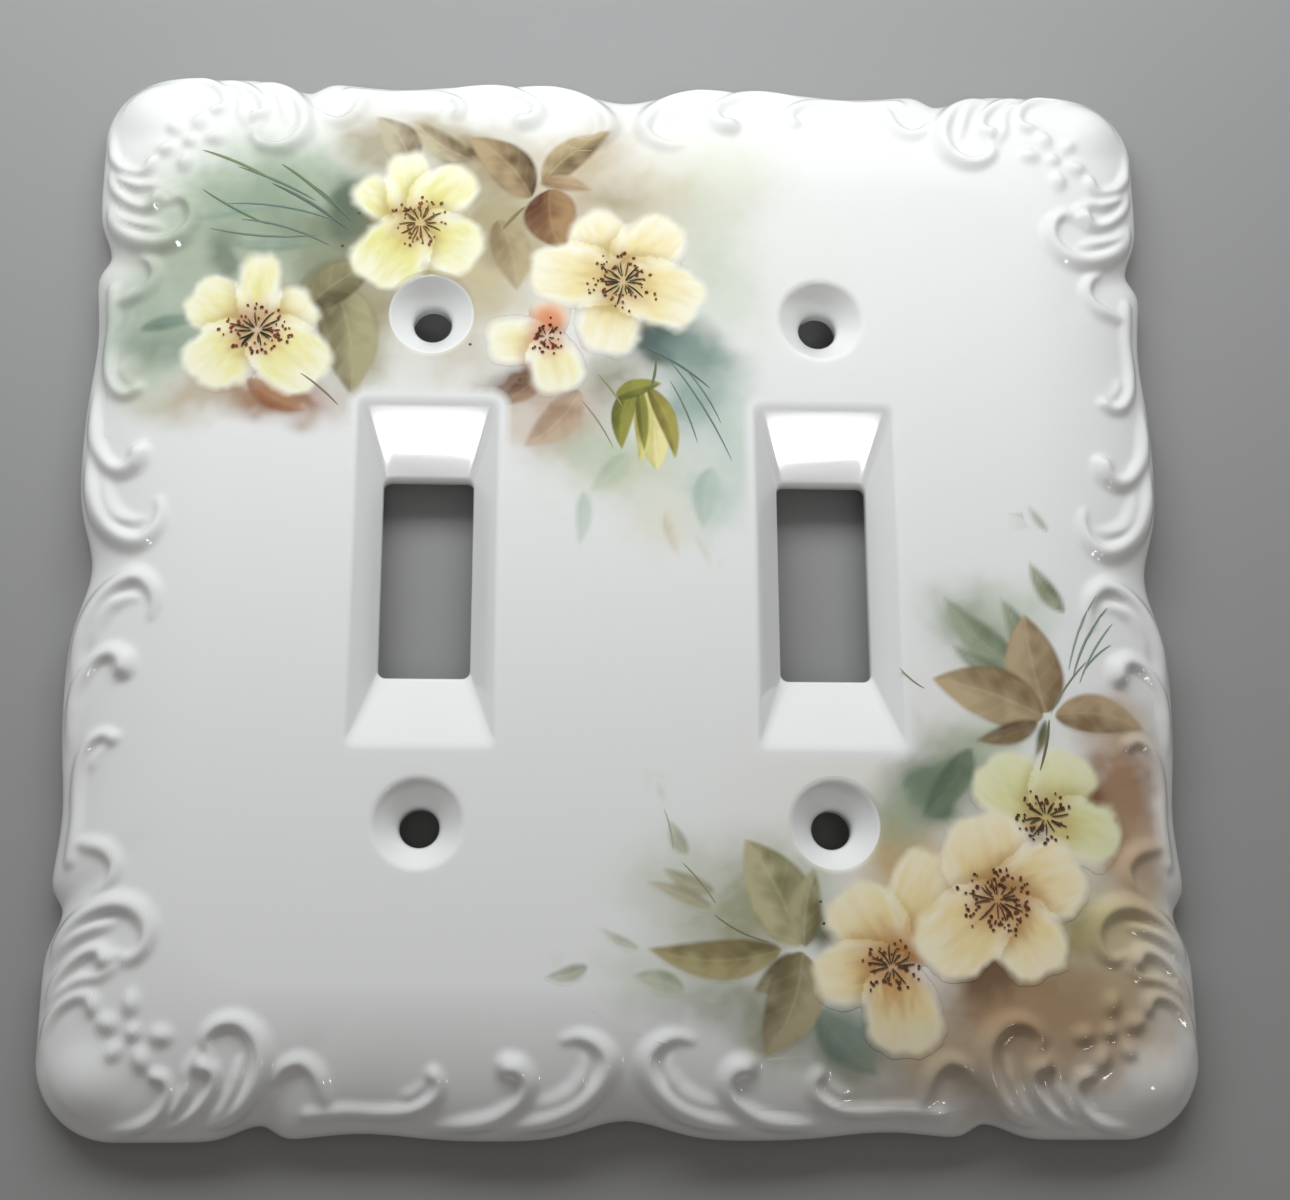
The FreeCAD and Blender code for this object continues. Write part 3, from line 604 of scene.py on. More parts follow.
WHITE = np.array([0.83, 0.84, 0.835])               # the glazed body's own colour

casting = add_piece(
    make_casting(), glazed("porcelain_glaze"),
    ["plate_body"] + [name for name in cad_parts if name.startswith(("edge_", "corner_"))],
)

# ------------------------------------------------------------------ background washes
# The first firing: thin pools of green, olive and brown overglaze colour wiped on with a wide
# brush behind each spray, soft at their rims. The pale green leaves are painted in the same coat.

WASH_LIFT = 0.008
WASH_STEP = 0.36                                    # grid of the two background coats
BODY_LIFT = -0.25                                   # underside of every coat, inside the glaze
SEAT_RIM = 5.45                                     # paint stops this far from a screw's middle
WELL_RIM = (9.75, 22.25, 2.65)                      # and at this rounded rectangle round a well

# Each pool: place, two radii, turn in degrees, colour as red, green, blue out of 255, strength.
UPPER_WASHES = [
    ((-22, 39), (35, 15), 0, (214, 213, 190), 0.44), ((-45, 43), (11.5, 9), 15, (166, 180, 160), 0.7),
    ((-54, 29), (6, 9), 80, (172, 188, 172), 0.72), ((-50, 36), (7, 5), 0, (152, 168, 146), 0.5),
    ((-55, 25), (4.5, 3.2), 10, (118, 140, 122), 0.6), ((-56, 21), (4.5, 4), 0, (205, 212, 192), 0.5),
    ((-40, 41), (8, 3.6), -20, (120, 142, 126), 0.6), ((-35.5, 38), (6.5, 6), 30, (128, 138, 112), 0.85),
    ((-33, 43), (3.4, 5.2), 20, (84, 98, 82), 0.85), ((-34.5, 32.5), (4.6, 3.8), -20, (98, 98, 76), 0.85),
    ((-47.4, 37.4), (1.7, 3.4), 20, (62, 84, 74), 0.95), ((-31.5, 26), (3.6, 6), 5, (158, 152, 118), 0.75),
    ((-41.5, 19.2), (7.6, 2.6), -4, (158, 118, 88), 0.8), ((-50, 19.4), (6, 2.6), 12, (190, 178, 152), 0.6),
    ((-29.6, 52.4), (4.4, 4.6), 50, (168, 160, 136), 0.75),
    ((-22.4, 53), (5, 3.8), -30, (172, 164, 136), 0.75),
    ((-16.5, 49.5), (6.5, 4.4), -40, (150, 134, 100), 0.7),
    ((-5.2, 50.5), (6.6, 4.4), 35, (184, 168, 138), 0.6),
    ((-19.8, 50.4), (2.2, 1.3), 15, (88, 74, 50), 0.8), ((-15, 40.5), (5, 6.5), 10, (150, 140, 104), 0.82),
    ((-17, 33), (4.5, 3.6), 0, (200, 188, 156), 0.6), ((-21.5, 35.4), (6, 1.8), 0, (214, 200, 150), 0.6),
    ((-29, 31), (3.4, 3.6), 0, (150, 140, 108), 0.6), ((-19.5, 26), (4.4, 4.8), 0, (205, 198, 182), 0.5),
    ((5, 46), (10, 5), 10, (206, 200, 176), 0.62), ((10.5, 38), (5, 10), 5, (206, 214, 198), 0.6),
    ((-2, 45.5), (5, 2.4), 0, (150, 130, 104), 0.5), ((12, 50), (6, 5), 0, (222, 226, 212), 0.5),
    ((-42, 46), (9, 4), 25, (140, 160, 136), 0.5), ((-46, 34), (13, 9), 0, (172, 180, 158), 0.36),
    ((-24, 34), (9, 9), 0, (176, 166, 132), 0.4), ((-8, 41), (14, 8), 0, (196, 184, 152), 0.4),
    ((4.4, 27.2), (4.6, 2.8), -10, (70, 90, 86), 0.9), ((8.4, 25.6), (3.6, 3), 0, (128, 148, 140), 0.7),
    ((8, 20), (4.6, 6), -30, (146, 168, 158), 0.68), ((12.2, 15.4), (3.4, 6), 10, (192, 208, 198), 0.55),
    ((-1.5, 22.4), (4.4, 4), 0, (150, 150, 128), 0.6), ((-12.6, 21.2), (4, 2.8), 20, (116, 88, 68), 0.8),
    ((-7.6, 17.2), (5.2, 4), 20, (186, 162, 138), 0.72), ((-14.6, 17.4), (3.4, 3), 0, (214, 200, 184), 0.5),
    ((0, 11.4), (8, 4.2), 0, (202, 208, 182), 0.62), ((-3.5, 14), (4.6, 4), 0, (190, 200, 180), 0.5),
    ((9.4, 8), (3.6, 4.4), 0, (192, 208, 198), 0.6), ((4, 5), (4, 3.4), 0, (222, 222, 204), 0.5),
]
LOWER_WASHES = [
    ((39, -38), (21, 16), -35, (220, 208, 180), 0.4), ((34.6, -26), (5.6, 4.8), 45, (92, 112, 88), 0.88),
    ((40, -20.6), (6.4, 3.2), 20, (172, 182, 156), 0.66),
    ((29.6, -30.4), (3.4, 4.8), -20, (160, 174, 150), 0.66),
    ((40.6, -8.4), (6.2, 4.6), -35, (150, 162, 138), 0.75), ((44, -4.6), (4, 3.4), 0, (196, 206, 190), 0.5),
    ((55.4, -27.4), (4.2, 8.6), -8, (168, 132, 98), 0.82),
    ((52.6, -26.8), (2.4, 3), 0, (116, 82, 56), 0.85),
    ((55.6, -18.6), (4.6, 3), 0, (190, 168, 138), 0.55), ((44, -49.4), (11, 4.4), 2, (142, 110, 74), 0.86),
    ((45, -53.4), (12, 4.6), 8, (186, 158, 124), 0.62), ((39.6, -46.6), (3, 2), 0, (92, 62, 36), 0.85),
    ((50.6, -41.4), (4.4, 4.2), 0, (160, 148, 98), 0.78),
    ((55, -39.6), (4.4, 3.4), 0, (224, 214, 168), 0.6),
    ((53, -47.6), (5, 4), 0, (178, 156, 118), 0.5), ((21.2, -41), (1.9, 2.4), 30, (66, 82, 70), 0.9),
    ((24, -53.4), (5.8, 4), -20, (128, 144, 130), 0.8), ((33, -54.6), (5, 3.2), 0, (190, 172, 132), 0.6),
    ((12.6, -39.6), (8.6, 6.4), 10, (160, 160, 128), 0.7),
    ((18.4, -36.6), (3.4, 4), 0, (196, 202, 184), 0.6),
    ((12, -49), (9, 3), 0, (158, 162, 142), 0.6), ((5, -36), (5.4, 5), 0, (208, 212, 198), 0.5),
    ((16, -53), (4.4, 3.6), 0, (128, 126, 84), 0.6), ((3.4, -46.4), (6, 3), 0, (206, 210, 196), 0.45),
    ((47, -51.5), (12, 6), 4, (172, 144, 110), 0.5), ((56, -42), (4.6, 8), 0, (196, 180, 140), 0.5),
    ((57, -31), (4, 8), -8, (158, 124, 96), 0.55), ((36, -57), (14, 4), 4, (176, 158, 134), 0.45),
    ((30.6, -36), (4.6, 5), 0, (196, 160, 96), 0.6), ((57, -34), (3, 5), 0, (206, 182, 150), 0.5),
]
# Each leaf: foot, tip, width, bow of the midrib, light colour, dark colour, strength.
GREEN_UPPER = [
    ((-57.4, 28.2), (-48.6, 29.0), 2.6, 0.3, (128, 150, 134), (96, 120, 106), 0.75),
    ((-38.4, 29.4), (-30.4, 37.6), 6.0, 0.8, (132, 132, 102), (84, 86, 66), 0.7),
    ((-51.4, 41.6), (-39.6, 43.8), 2.2, 0.5, (150, 172, 160), (110, 136, 122), 0.5),
    ((-46.6, 38.6), (-36.0, 39.4), 2.4, -0.5, (140, 160, 146), (100, 122, 108), 0.5),
    ((-5.0, 8.6), (-5.6, 1.4), 2.6, 0.3, (200, 212, 202), (176, 194, 182), 0.7),
    ((4.4, 6.4), (6.2, 0.2), 2.0, -0.3, (222, 214, 194), (200, 190, 164), 0.7),
    ((7.6, 3.4), (9.8, -1.6), 1.4, 0.3, (224, 220, 206), (206, 200, 180), 0.6),
    ((0.2, 13.2), (-4.6, 8.2), 3.4, 0.4, (196, 206, 184), (168, 184, 160), 0.6),
    ((9.8, 11.6), (8.8, 3.6), 3.8, -0.3, (190, 206, 194), (160, 184, 172), 0.6),
]
GREEN_LOWER = [
    ((46.2, -13.6), (36.0, -3.4), 4.6, 0.9, (158, 168, 144), (108, 118, 92), 0.75),
    ((45.6, -12.4), (42.6, -3.6), 3.4, -0.6, (150, 158, 132), (96, 104, 78), 0.8),
    ((44.8, -14.2), (36.4, -9.0), 3.0, 0.5, (140, 148, 122), (100, 108, 82), 0.7),
    ((50.2, -5.6), (46.2, 0.8), 3.0, 0.4, (158, 164, 138), (104, 110, 82), 0.85),
    ((48.9, 4.0), (46.4, 7.8), 1.6, 0.2, (178, 184, 164), (138, 146, 122), 0.75),
    ((20.4, -50.2), (27.4, -57.2), 4.6, -0.6, (138, 152, 138), (104, 122, 110), 0.8),
    ((38.6, -21.4), (32.4, -29.6), 4.2, 0.5, (110, 128, 104), (78, 96, 74), 0.7),
    ((3.2, -25.4), (4.2, -28.2), 1.3, 0.1, (214, 220, 208), (196, 204, 190), 0.7),
]
UPPER_BOX = (-60.5, -4.0, 21.0, 59.5)
LOWER_BOX = (-9.0, -60.5, 60.5, 10.0)


def tint(red, green, blue):
    """Linear colour of a paint given as red, green and blue out of 255."""
    share = np.array([red, green, blue]) / 255
    return np.where(share <= 0.04045, share / 12.92, ((share + 0.055) / 1.055) ** 2.4)


def lay(colour, paint, amount):
    """A coat of paint over a colour, as opaque as its amount at each point."""
    return colour + (paint - colour) * amount[..., None]


def ease(share):
    """Smoothstep: rises from nothing to one with level ends."""
    share = np.clip(share, 0, 1)
    return share * share * (3 - 2 * share)


def mottle(x, y, grain, seed):
    """Smooth random field from -1 to 1: random numbers on a lattice, blended by smoothsteps."""
    lattice = np.random.default_rng(seed).uniform(-1, 1, (64, 64))
    u, v = x / grain, y / grain
    i, j = np.floor(u).astype(int), np.floor(v).astype(int)
    s, t = ease(u - i), ease(v - j)
    i, j, right, above = i % 64, j % 64, (i + 1) % 64, (j + 1) % 64
    lower = lattice[i, j] * (1 - s) + lattice[right, j] * s
    upper = lattice[i, above] * (1 - s) + lattice[right, above] * s
    return lower * (1 - t) + upper * t


def turned(x, y, place, degrees):
    """Places seen from a point along axes turned by an angle."""
    c, s = math.cos(math.radians(degrees)), math.sin(math.radians(degrees))
    dx, dy = x - place[0], y - place[1]
    return dx * c + dy * s, dy * c - dx * s


def lay_washes(x, y, colour, washes):
    """Elliptic pools that thin out as a bell; their rims wander and brush hairs streak them."""
    wide = x + 1.1 * mottle(x, y, 3.4, 1) + 0.5 * mottle(x, y, 1.5, 2)
    high = y + 1.1 * mottle(x, y, 3.1, 3) + 0.5 * mottle(x, y, 1.3, 4)
    for place, radii, degrees, paint, strength in washes:
        u, v = turned(wide, high, place, degrees)
        bell = np.exp(-(np.hypot(u / radii[0], v / radii[1]) ** 2.3))
        amount = 1.4 * strength * np.clip((bell - 0.03) / 0.97, 0, 1)
        hairs = 1 + 0.10 * mottle(u * 0.25, v, 0.55, 5) + 0.07 * mottle(x, y, 0.8, 6)
        colour = lay(colour, tint(*paint), np.clip(amount * hairs, 0, 0.96))
    return colour


def leaf_axes(x, y, foot, tip, bow):
    """Share of the way from foot to tip, and distance from the midrib, which bows sideways as
    a parabola."""
    length = math.dist(foot, tip)
    u, v = turned(x, y, foot, math.degrees(math.atan2(tip[1] - foot[1], tip[0] - foot[0])))
    u = u / length
    return u, v - 4 * bow * u * (1 - u)


def leaf_reach(u, width):
    """Half the leaf's width along it: broadest two fifths of the way, pointed at the tip."""
    share = np.clip(u, 0, 1)
    return width / 2 * share**0.6 * (1 - share) ** 0.9 / 0.364


def leaf_edge(x, y, leaf):
    """Distance in from the leaf's edge, below nothing outside it."""
    foot, tip, width, bow = leaf[:4]
    u, v = leaf_axes(x, y, foot, tip, bow)
    beyond = np.maximum(np.maximum(-u, u - 1), 0) * math.dist(foot, tip)
    return leaf_reach(u, width) - abs(v) - beyond


def lay_leaves(x, y, colour, leaves, crisp=0.7):
    """Leaves shaded dark along one side of the midrib and at the foot, with pale side veins."""
    for foot, tip, width, bow, light, dark, strength in leaves:
        u, v = leaf_axes(x, y, foot, tip, bow)
        half = leaf_reach(u, width) + 1e-3
        across = np.clip(v / half, -1, 1)
        inside = ease(leaf_edge(x, y, (foot, tip, width, bow)) / crisp)
        shade = 0.42 - 0.42 * np.tanh(2.2 * across) + 0.6 * (0.45 - u) + 0.3 * mottle(x, y, 1.4, 7)
        rim = 0.45 * ease((abs(across) - 0.72) / 0.28)
        vein = (0.5 + 0.5 * np.cos(2 * math.pi * (6.5 * u - 1.6 * abs(across)))) ** 5
        rib = np.exp(-((v / 0.16) ** 2))
        tone = np.clip(shade + rim - 0.1 * vein - 0.3 * rib, 0, 1)
        paint = lay(np.broadcast_to(tint(*light), x.shape + (3,)), tint(*dark), tone)
        hairs = 1 + 0.12 * mottle(u * 3, v, 0.5, 8)
        colour = lay(colour, paint, np.clip(1.12 * inside * strength * hairs, 0, 1))
    return colour


def leaves_edge(x, y, leaves):
    """Distance in from the edge of a group of leaves taken together."""
    return np.max([leaf_edge(x, y, leaf) for leaf in leaves], axis=0)


def clear_of_holes(x, y):
    """Distance from the soft rims of the screw seats and of the round-cornered toggle wells."""
    half_width, half_length, radius = WELL_RIM
    seat = np.hypot(abs(x) - GANG_PLACE, abs(y) - SEAT_PLACE) - SEAT_RIM
    over_x = abs(abs(x) - GANG_PLACE) - (half_width - radius)
    over_y = abs(y - WELL_SHIFT) - (half_length - radius)
    beyond = np.hypot(np.maximum(over_x, 0), np.maximum(over_y, 0))
    well = beyond + np.minimum(np.maximum(over_x, over_y), 0) - radius
    return np.minimum(seat, well)


def coat_mesh(name, box, step, edge, lift, colour_at):
    """A film of enamel as a closed skin: the squares of a grid that lie inside an edge function,
    their outer corners slid on to the edge along its slope, laid on the face and, for the
    underside, a little below it. The rim between the two is kept sharp."""
    x, y = np.meshgrid(np.arange(box[0], box[2], step), np.arange(box[1], box[3], step))

    def inside(px, py):
        return np.minimum(edge(px, py), np.minimum(clear_of_holes(px, py), inset_at(px, py) - 1.2))

    depth = inside(x, y)
    cell = (depth[:-1, :-1] + depth[1:, :-1] + depth[:-1, 1:] + depth[1:, 1:]) / 4 > 0
    number = np.arange(x.size).reshape(x.shape)
    quads = np.stack([number[:-1, :-1], number[:-1, 1:], number[1:, 1:], number[1:, :-1]], -1)[cell]
    sides = np.concatenate([quads[:, [0, 1]], quads[:, [1, 2]], quads[:, [2, 3]], quads[:, [3, 0]]])
    key = sides.min(1) * x.size + sides.max(1)
    _, first, uses = np.unique(key, return_index=True, return_counts=True)
    rim = sides[first[uses == 1]]
    ends = np.unique(rim)
    x, y = x.ravel().copy(), y.ravel().copy()
    for _ in range(2):
        px, py, h = x[ends], y[ends], 0.02
        depth = inside(px, py)
        gx = (inside(px + h, py) - inside(px - h, py)) / (2 * h)
        gy = (inside(px, py + h) - inside(px, py - h)) / (2 * h)
        slide = np.clip(depth / np.maximum(gx**2 + gy**2, 0.25), -0.45 * step, 0.45 * step)
        x[ends], y[ends] = px - slide * gx, py - slide * gy
    used, order = np.unique(quads, return_inverse=True)
    x, y, quads, rim = x[used], y[used], order.reshape(-1, 4), np.searchsorted(used, rim)
    height = slope_height(inset_at(x, y))
    top, under = face_point(x, y, height, lift), face_point(x, y, height, BODY_LIFT)
    count = len(x)
    walls = np.c_[rim[:, 1], rim[:, 0], rim[:, 0] + count, rim[:, 1] + count]
    faces = np.concatenate([quads, quads[:, ::-1] + count, walls])
    mesh = bpy.data.meshes.new(name)
    mesh.from_pydata((np.vstack([top, under]) * MM).tolist(), [], faces.tolist())
    mesh.polygons.foreach_set("use_smooth", np.ones(len(faces), bool))
    pairs = np.empty(len(mesh.edges) * 2, np.int32)
    mesh.edges.foreach_get("vertices", pairs)
    pairs = np.sort(pairs.reshape(-1, 2).astype(np.int64), 1)
    rim = np.sort(rim, 1).astype(np.int64)
    sharp = np.isin(pairs[:, 0] * 2 * count + pairs[:, 1], rim[:, 0] * 2 * count + rim[:, 1])
    mesh.attributes.new("sharp_edge", "BOOLEAN", "EDGE").data.foreach_set("value", sharp)
    colours = colour_at(top[:, 0], top[:, 1])
    paint_mesh(mesh, np.vstack([colours, colours]))
    return mesh


def background(x, y):
    """The white body with both backgrounds and the pale leaves painted in them."""
    colour = np.broadcast_to(WHITE, x.shape + (3,))
    colour = lay_washes(x, y, colour, UPPER_WASHES + LOWER_WASHES)
    return lay_leaves(x, y, colour, GREEN_UPPER + GREEN_LOWER, 0.8)


def wash_edge(washes, leaves):
    """Edge function of a background: inside any of its pools out to where the paint has gone,
    or inside one of its leaves."""

    def edge(x, y):
        reach = leaves_edge(x, y, leaves) + 0.6
        for place, radii, degrees, _, _ in washes:
            u, v = turned(x, y, place, degrees)
            share = np.hypot(u / radii[0], v / radii[1])
            reach = np.maximum(reach, (1.78 - share) * min(radii))
        return reach

    return edge


for place, box, washes, leaves in (
    ("upper", UPPER_BOX, UPPER_WASHES, GREEN_UPPER),
    ("lower", LOWER_BOX, LOWER_WASHES, GREEN_LOWER),
):
    mesh = coat_mesh(
        f"green_background_{place}", box, WASH_STEP, wash_edge(washes, leaves), WASH_LIFT, background
    )
    material = glazed(f"glaze_green_background_{place}")
    add_piece(mesh, material, [f"leaves_green_{place}"])

# ------------------------------------------------------------------ bronze and olive leaves
# The second firing: pointed leaves in groups of three, brushed in bronze brown and olive with
# one dark side, and a few loose single leaves that trail off from each spray.

LEAF_LIFT = 0.02
BRONZE_UPPER = [
    ((-11.4, 45.4), (-19.4, 53.8), 6.0, -1.0, (172, 152, 116), (88, 68, 44), 0.96),
    ((-10.2, 47.2), (-1.6, 54.8), 4.6, 0.9, (178, 160, 122), (98, 78, 52), 0.94),
    ((-10.6, 47.4), (-3.8, 46.4), 2.8, 0.5, (184, 160, 126), (132, 102, 72), 0.8),
    ((-9.2, 46.6), (-7.6, 38.4), 7.0, -0.7, (166, 134, 96), (98, 64, 42), 0.95),
    ((-26.2, 48.6), (-30.6, 56.8), 5.2, -1.2, (184, 174, 148), (104, 90, 66), 0.8),
    ((-18.8, 50.4), (-26.0, 56.4), 4.2, 0.8, (186, 176, 146), (116, 100, 74), 0.8),
    ((-34.6, 34.0), (-32.0, 19.4), 7.6, 0.9, (172, 166, 128), (106, 98, 70), 0.85),
    ((-37.2, 31.0), (-29.4, 36.6), 5.4, 0.6, (150, 144, 108), (92, 84, 60), 0.8),
    ((-15.4, 42.4), (-13.0, 33.0), 5.2, 0.6, (182, 166, 130), (130, 110, 78), 0.75),
    ((-5.4, 20.8), (-12.2, 13.6), 4.8, 0.8, (196, 172, 146), (150, 120, 96), 0.7),
    ((-9.6, 23.4), (-15.6, 18.6), 3.4, 0.5, (160, 130, 104), (104, 76, 58), 0.8),
    ((-44.2, 21.6), (-36.8, 17.6), 3.4, -0.5, (178, 132, 98), (140, 92, 62), 0.75),
]
BRONZE_LOWER = [
    ((47.4, -17.4), (45.4, -5.6), 7.2, 0.4, (184, 164, 130), (128, 106, 74), 0.95),
    ((47.0, -17.8), (34.2, -13.4), 7.0, -0.6, (190, 170, 134), (128, 106, 72), 0.95),
    ((48.2, -17.6), (59.4, -18.8), 5.2, 0.9, (186, 162, 128), (132, 108, 78), 0.92),
    ((47.2, -18.0), (45.6, -22.8), 1.8, 0.2, (118, 116, 84), (76, 78, 54), 0.9),
    ((46.4, -18.4), (38.8, -20.6), 3.2, 0.4, (138, 116, 84), (92, 72, 48), 0.85),
]
OLIVE_LOWER = [
    ((18.8, -43.4), (12.8, -31.6), 7.6, -0.6, (188, 182, 142), (112, 108, 70), 0.95),
    ((19.2, -43.6), (20.6, -34.6), 4.2, 0.4, (176, 170, 132), (110, 104, 68), 0.85),
    ((16.8, -43.8), (1.8, -43.6), 5.0, 1.3, (172, 160, 116), (112, 100, 60), 0.92),
    ((18.4, -44.4), (13.4, -48.4), 4.2, 0.7, (150, 140, 104), (92, 84, 54), 0.85),
    ((19.0, -44.0), (14.6, -55.4), 6.8, 1.0, (178, 166, 132), (112, 100, 68), 0.92),
    ((9.6, -37.6), (3.6, -34.8), 2.6, 0.4, (182, 178, 146), (136, 132, 98), 0.75),
    ((9.4, -39.6), (1.6, -36.4), 2.4, -0.3, (188, 182, 150), (142, 136, 102), 0.7),
    ((6.6, -33.6), (4.6, -29.4), 2.4, 0.3, (192, 194, 170), (150, 154, 124), 0.7),
    ((1.4, -43.8), (-3.4, -41.2), 1.7, 0.3, (200, 202, 184), (156, 158, 132), 0.75),
    ((-4.2, -45.6), (-9.2, -46.8), 2.4, 0.4, (196, 200, 182), (146, 150, 124), 0.8),
    ((6.2, -48.2), (0.2, -46.6), 3.0, -0.3, (190, 194, 172), (142, 148, 122), 0.75),
]


def leafy(x, y):
    """Everything up to the second firing."""
    return lay_leaves(x, y, background(x, y), BRONZE_UPPER + BRONZE_LOWER + OLIVE_LOWER)


for name, leaves, paint in (
    ("leaves_bronze_upper", BRONZE_UPPER, "enamel_bronze"),
    ("leaves_bronze_lower", BRONZE_LOWER, "enamel_bronze"),
    ("leaves_olive_lower", OLIVE_LOWER, "enamel_olive"),
):
    ends = np.array([end for leaf in leaves for end in leaf[:2]])
    box = (*(ends.min(0) - 4), *(ends.max(0) + 4))
    mesh = coat_mesh(
        f"painted_{name}", box, 0.2, lambda x, y, group=leaves: leaves_edge(x, y, group), LEAF_LIFT, leafy
    )
    add_piece(mesh, glazed(f"glaze_{name}", 0.2), [name])

# ------------------------------------------------------------------ roses
# The third firing: seven wild roses, each of soft-edged petals wiped from golden at the heart
# to almost white at the rim, so that they glow against the background.

PETAL_LIFT = 0.026
# Each rose: heart; petals as direction, reach and width, in the order in which they overlap;
# colours of their rims, their middle and their golden heart; reach of the golden heart.
ROSES = {
    "rose_outer_left": (
        (-43.4, 27.8),
        [(150, 9.6, 8.1), (30, 8.2, 6.6), (88, 10.6, 5.5), (222, 9.8, 8.8), (-40, 10.6, 8.8)],
        (250, 250, 238), (236, 230, 160), (204, 160, 104), 4.4,
    ),
    "rose_top_left": (
        (-25.2, 41.6),
        [(142, 9.4, 6.1), (98, 10.2, 6.1), (50, 10.2, 7.2), (-30, 9.2, 8.1), (234, 9.8, 9.0)],
        (250, 250, 238), (230, 226, 148), (200, 170, 96), 4.4,
    ),
    "rose_inner_small": (
        (-9.2, 27.6),
        [(90, 4.8, 4.8), (190, 7.8, 6.5), (282, 8.0, 6.8)],
        (250, 250, 238), (240, 232, 178), (212, 148, 100), 3.2,
    ),
    "rose_top_centre": (
        (-0.8, 34.8),
        [(117, 10.0, 7.7), (258, 10.2, 8.1), (50, 10.8, 7.9), (172, 11.2, 8.3), (-20, 10.8, 9.0)],
        (250, 250, 238), (238, 224, 166), (204, 170, 104), 5.4,
    ),
    "rose_lower_right": (
        (46.6, -29.6),
        [(136, 10.0, 8.8), (62, 9.0, 7.4), (-14, 9.2, 8.0)],
        (240, 240, 210), (226, 226, 166), (196, 166, 90), 4.8,
    ),
    "rose_lower_left": (
        (29.2, -45.4),
        [(66, 14.4, 8.6), (125, 10.6, 8.8), (190, 9.6, 7.4), (276, 10.0, 9.0)],
        (248, 242, 216), (240, 220, 162), (190, 126, 48), 5.8,
    ),
    "rose_lower_gold": (
        (41.2, -38.4),
        [(160, 7.2, 7.0), (106, 10.4, 10.2), (22, 10.2, 9.4), (-60, 10.0, 8.8), (218, 11.8, 9.2)],
        (250, 244, 220), (240, 218, 160), (188, 130, 62), 5.2,
    ),
}
ROSE_PAINTS = {"rose_lower_gold": "enamel_golden", "rose_inner_small": "enamel_orange_pink"}
# A blush over one petal: place, two radii, colour.
BLUSH = {"rose_inner_small": ((-9.2, 30.0), (2.6, 2.4), (222, 140, 100))}
PETAL_MIDDLE = 0.6                                  # where a petal is broadest, as a share of its reach


def petal_edge(x, y, heart, petal):
    """Distance in from a petal's edge: a superellipse, longer towards the heart, whose outer
    rim is dented in the middle and wavers a little."""
    direction, reach, width = petal
    u, v = turned(x, y, heart, direction)
    u, v = u / reach, v / (width / 2)
    span = np.where(u > PETAL_MIDDLE, 1 - PETAL_MIDDLE, PETAL_MIDDLE + 0.06)
    waver = 0.09 * mottle(x, y, 2.1, 11) + 0.03 * mottle(x, y, 0.7, 12)
    dent = 0.07 * np.exp(-((v / 0.3) ** 2)) * (u > PETAL_MIDDLE)
    away = (abs((u - PETAL_MIDDLE) / span) ** 2.3 + abs(v) ** 2.3) ** (1 / 2.3)
    return (1 - away - dent + waver) * width / 2


def rose_edge(x, y, heart, petals):
    """Distance in from the edge of a whole rose."""
    return np.max([petal_edge(x, y, heart, petal) for petal in petals], axis=0)


def lay_rose(x, y, colour, name):
    """Petals one over another: golden at the heart, the rose's own yellow in the middle, ivory
    at the rim, streaked along each petal, with a soft shadow where one slips under the next."""
    heart, petals, pale, middle, gold, glow = ROSES[name]
    for order, petal in enumerate(petals):
        depth = petal_edge(x, y, heart, petal)
        u, v = turned(x, y, heart, petal[0])
        streak = mottle(u * 0.22, v, 0.55, 20 + order) + 0.5 * mottle(u * 0.3, v, 0.25, 30 + order)
        rim = ease((2.6 - depth + 0.6 * streak) / 2.6)
        outer = ease((u / petal[1] - 0.34 + 0.12 * streak) / 0.6)
        fade = np.maximum(0.9 * rim, 0.72 * outer)
        paint = lay(np.broadcast_to(tint(*middle), x.shape + (3,)), tint(*pale), fade)
        warm = ease(1.15 - np.hypot(u, v) / glow + 0.2 * streak)
        paint = lay(paint, tint(*gold), 0.8 * warm)
        fold = np.exp(-((v / 0.5) ** 2)) * ease(1 - u / petal[1])
        paint = lay(paint, tint(*gold), 0.25 * fold)
        shadow = np.exp(-((np.minimum(depth, 0) / 0.9) ** 2)) * ease(1.3 - np.hypot(u, v) / 8)
        colour = lay(colour, tint(*gold) * 0.72, 0.5 * shadow * (depth < 0) * (order > 0))
        colour = lay(colour, paint, 0.98 * ease((depth + 0.1) / 1.2))
    if name in BLUSH:
        place, radii, paint = BLUSH[name]
        colour = lay(colour, tint(*paint), 0.85 * spot(x, y, place, radii) ** 0.5)
    return colour


def painting(x, y):
    """All three firings."""
    colour = leafy(x, y)
    for name in ROSES:
        colour = lay_rose(x, y, colour, name)
    return colour


for order, (name, (heart, petals, *_)) in enumerate(ROSES.items()):
    reach = max(petal[1] for petal in petals) + 1
    box = (heart[0] - reach, heart[1] - reach, heart[0] + reach, heart[1] + reach)
    mesh = coat_mesh(
        f"painted_{name}_petals", box, 0.2,
        lambda x, y, h=heart, p=petals: rose_edge(x, y, h, p) + 0.1, PETAL_LIFT + 0.003 * order, painting,
    )
    paint = ROSE_PAINTS.get(name, "enamel_pale_yellow")
    add_piece(mesh, glazed(f"glaze_{name}"), [f"{name}_petals"])


# ------------------------------------------------------------------ rosebud
# A closed bud hanging under the top rose: pale yellow petals between long olive sepals.

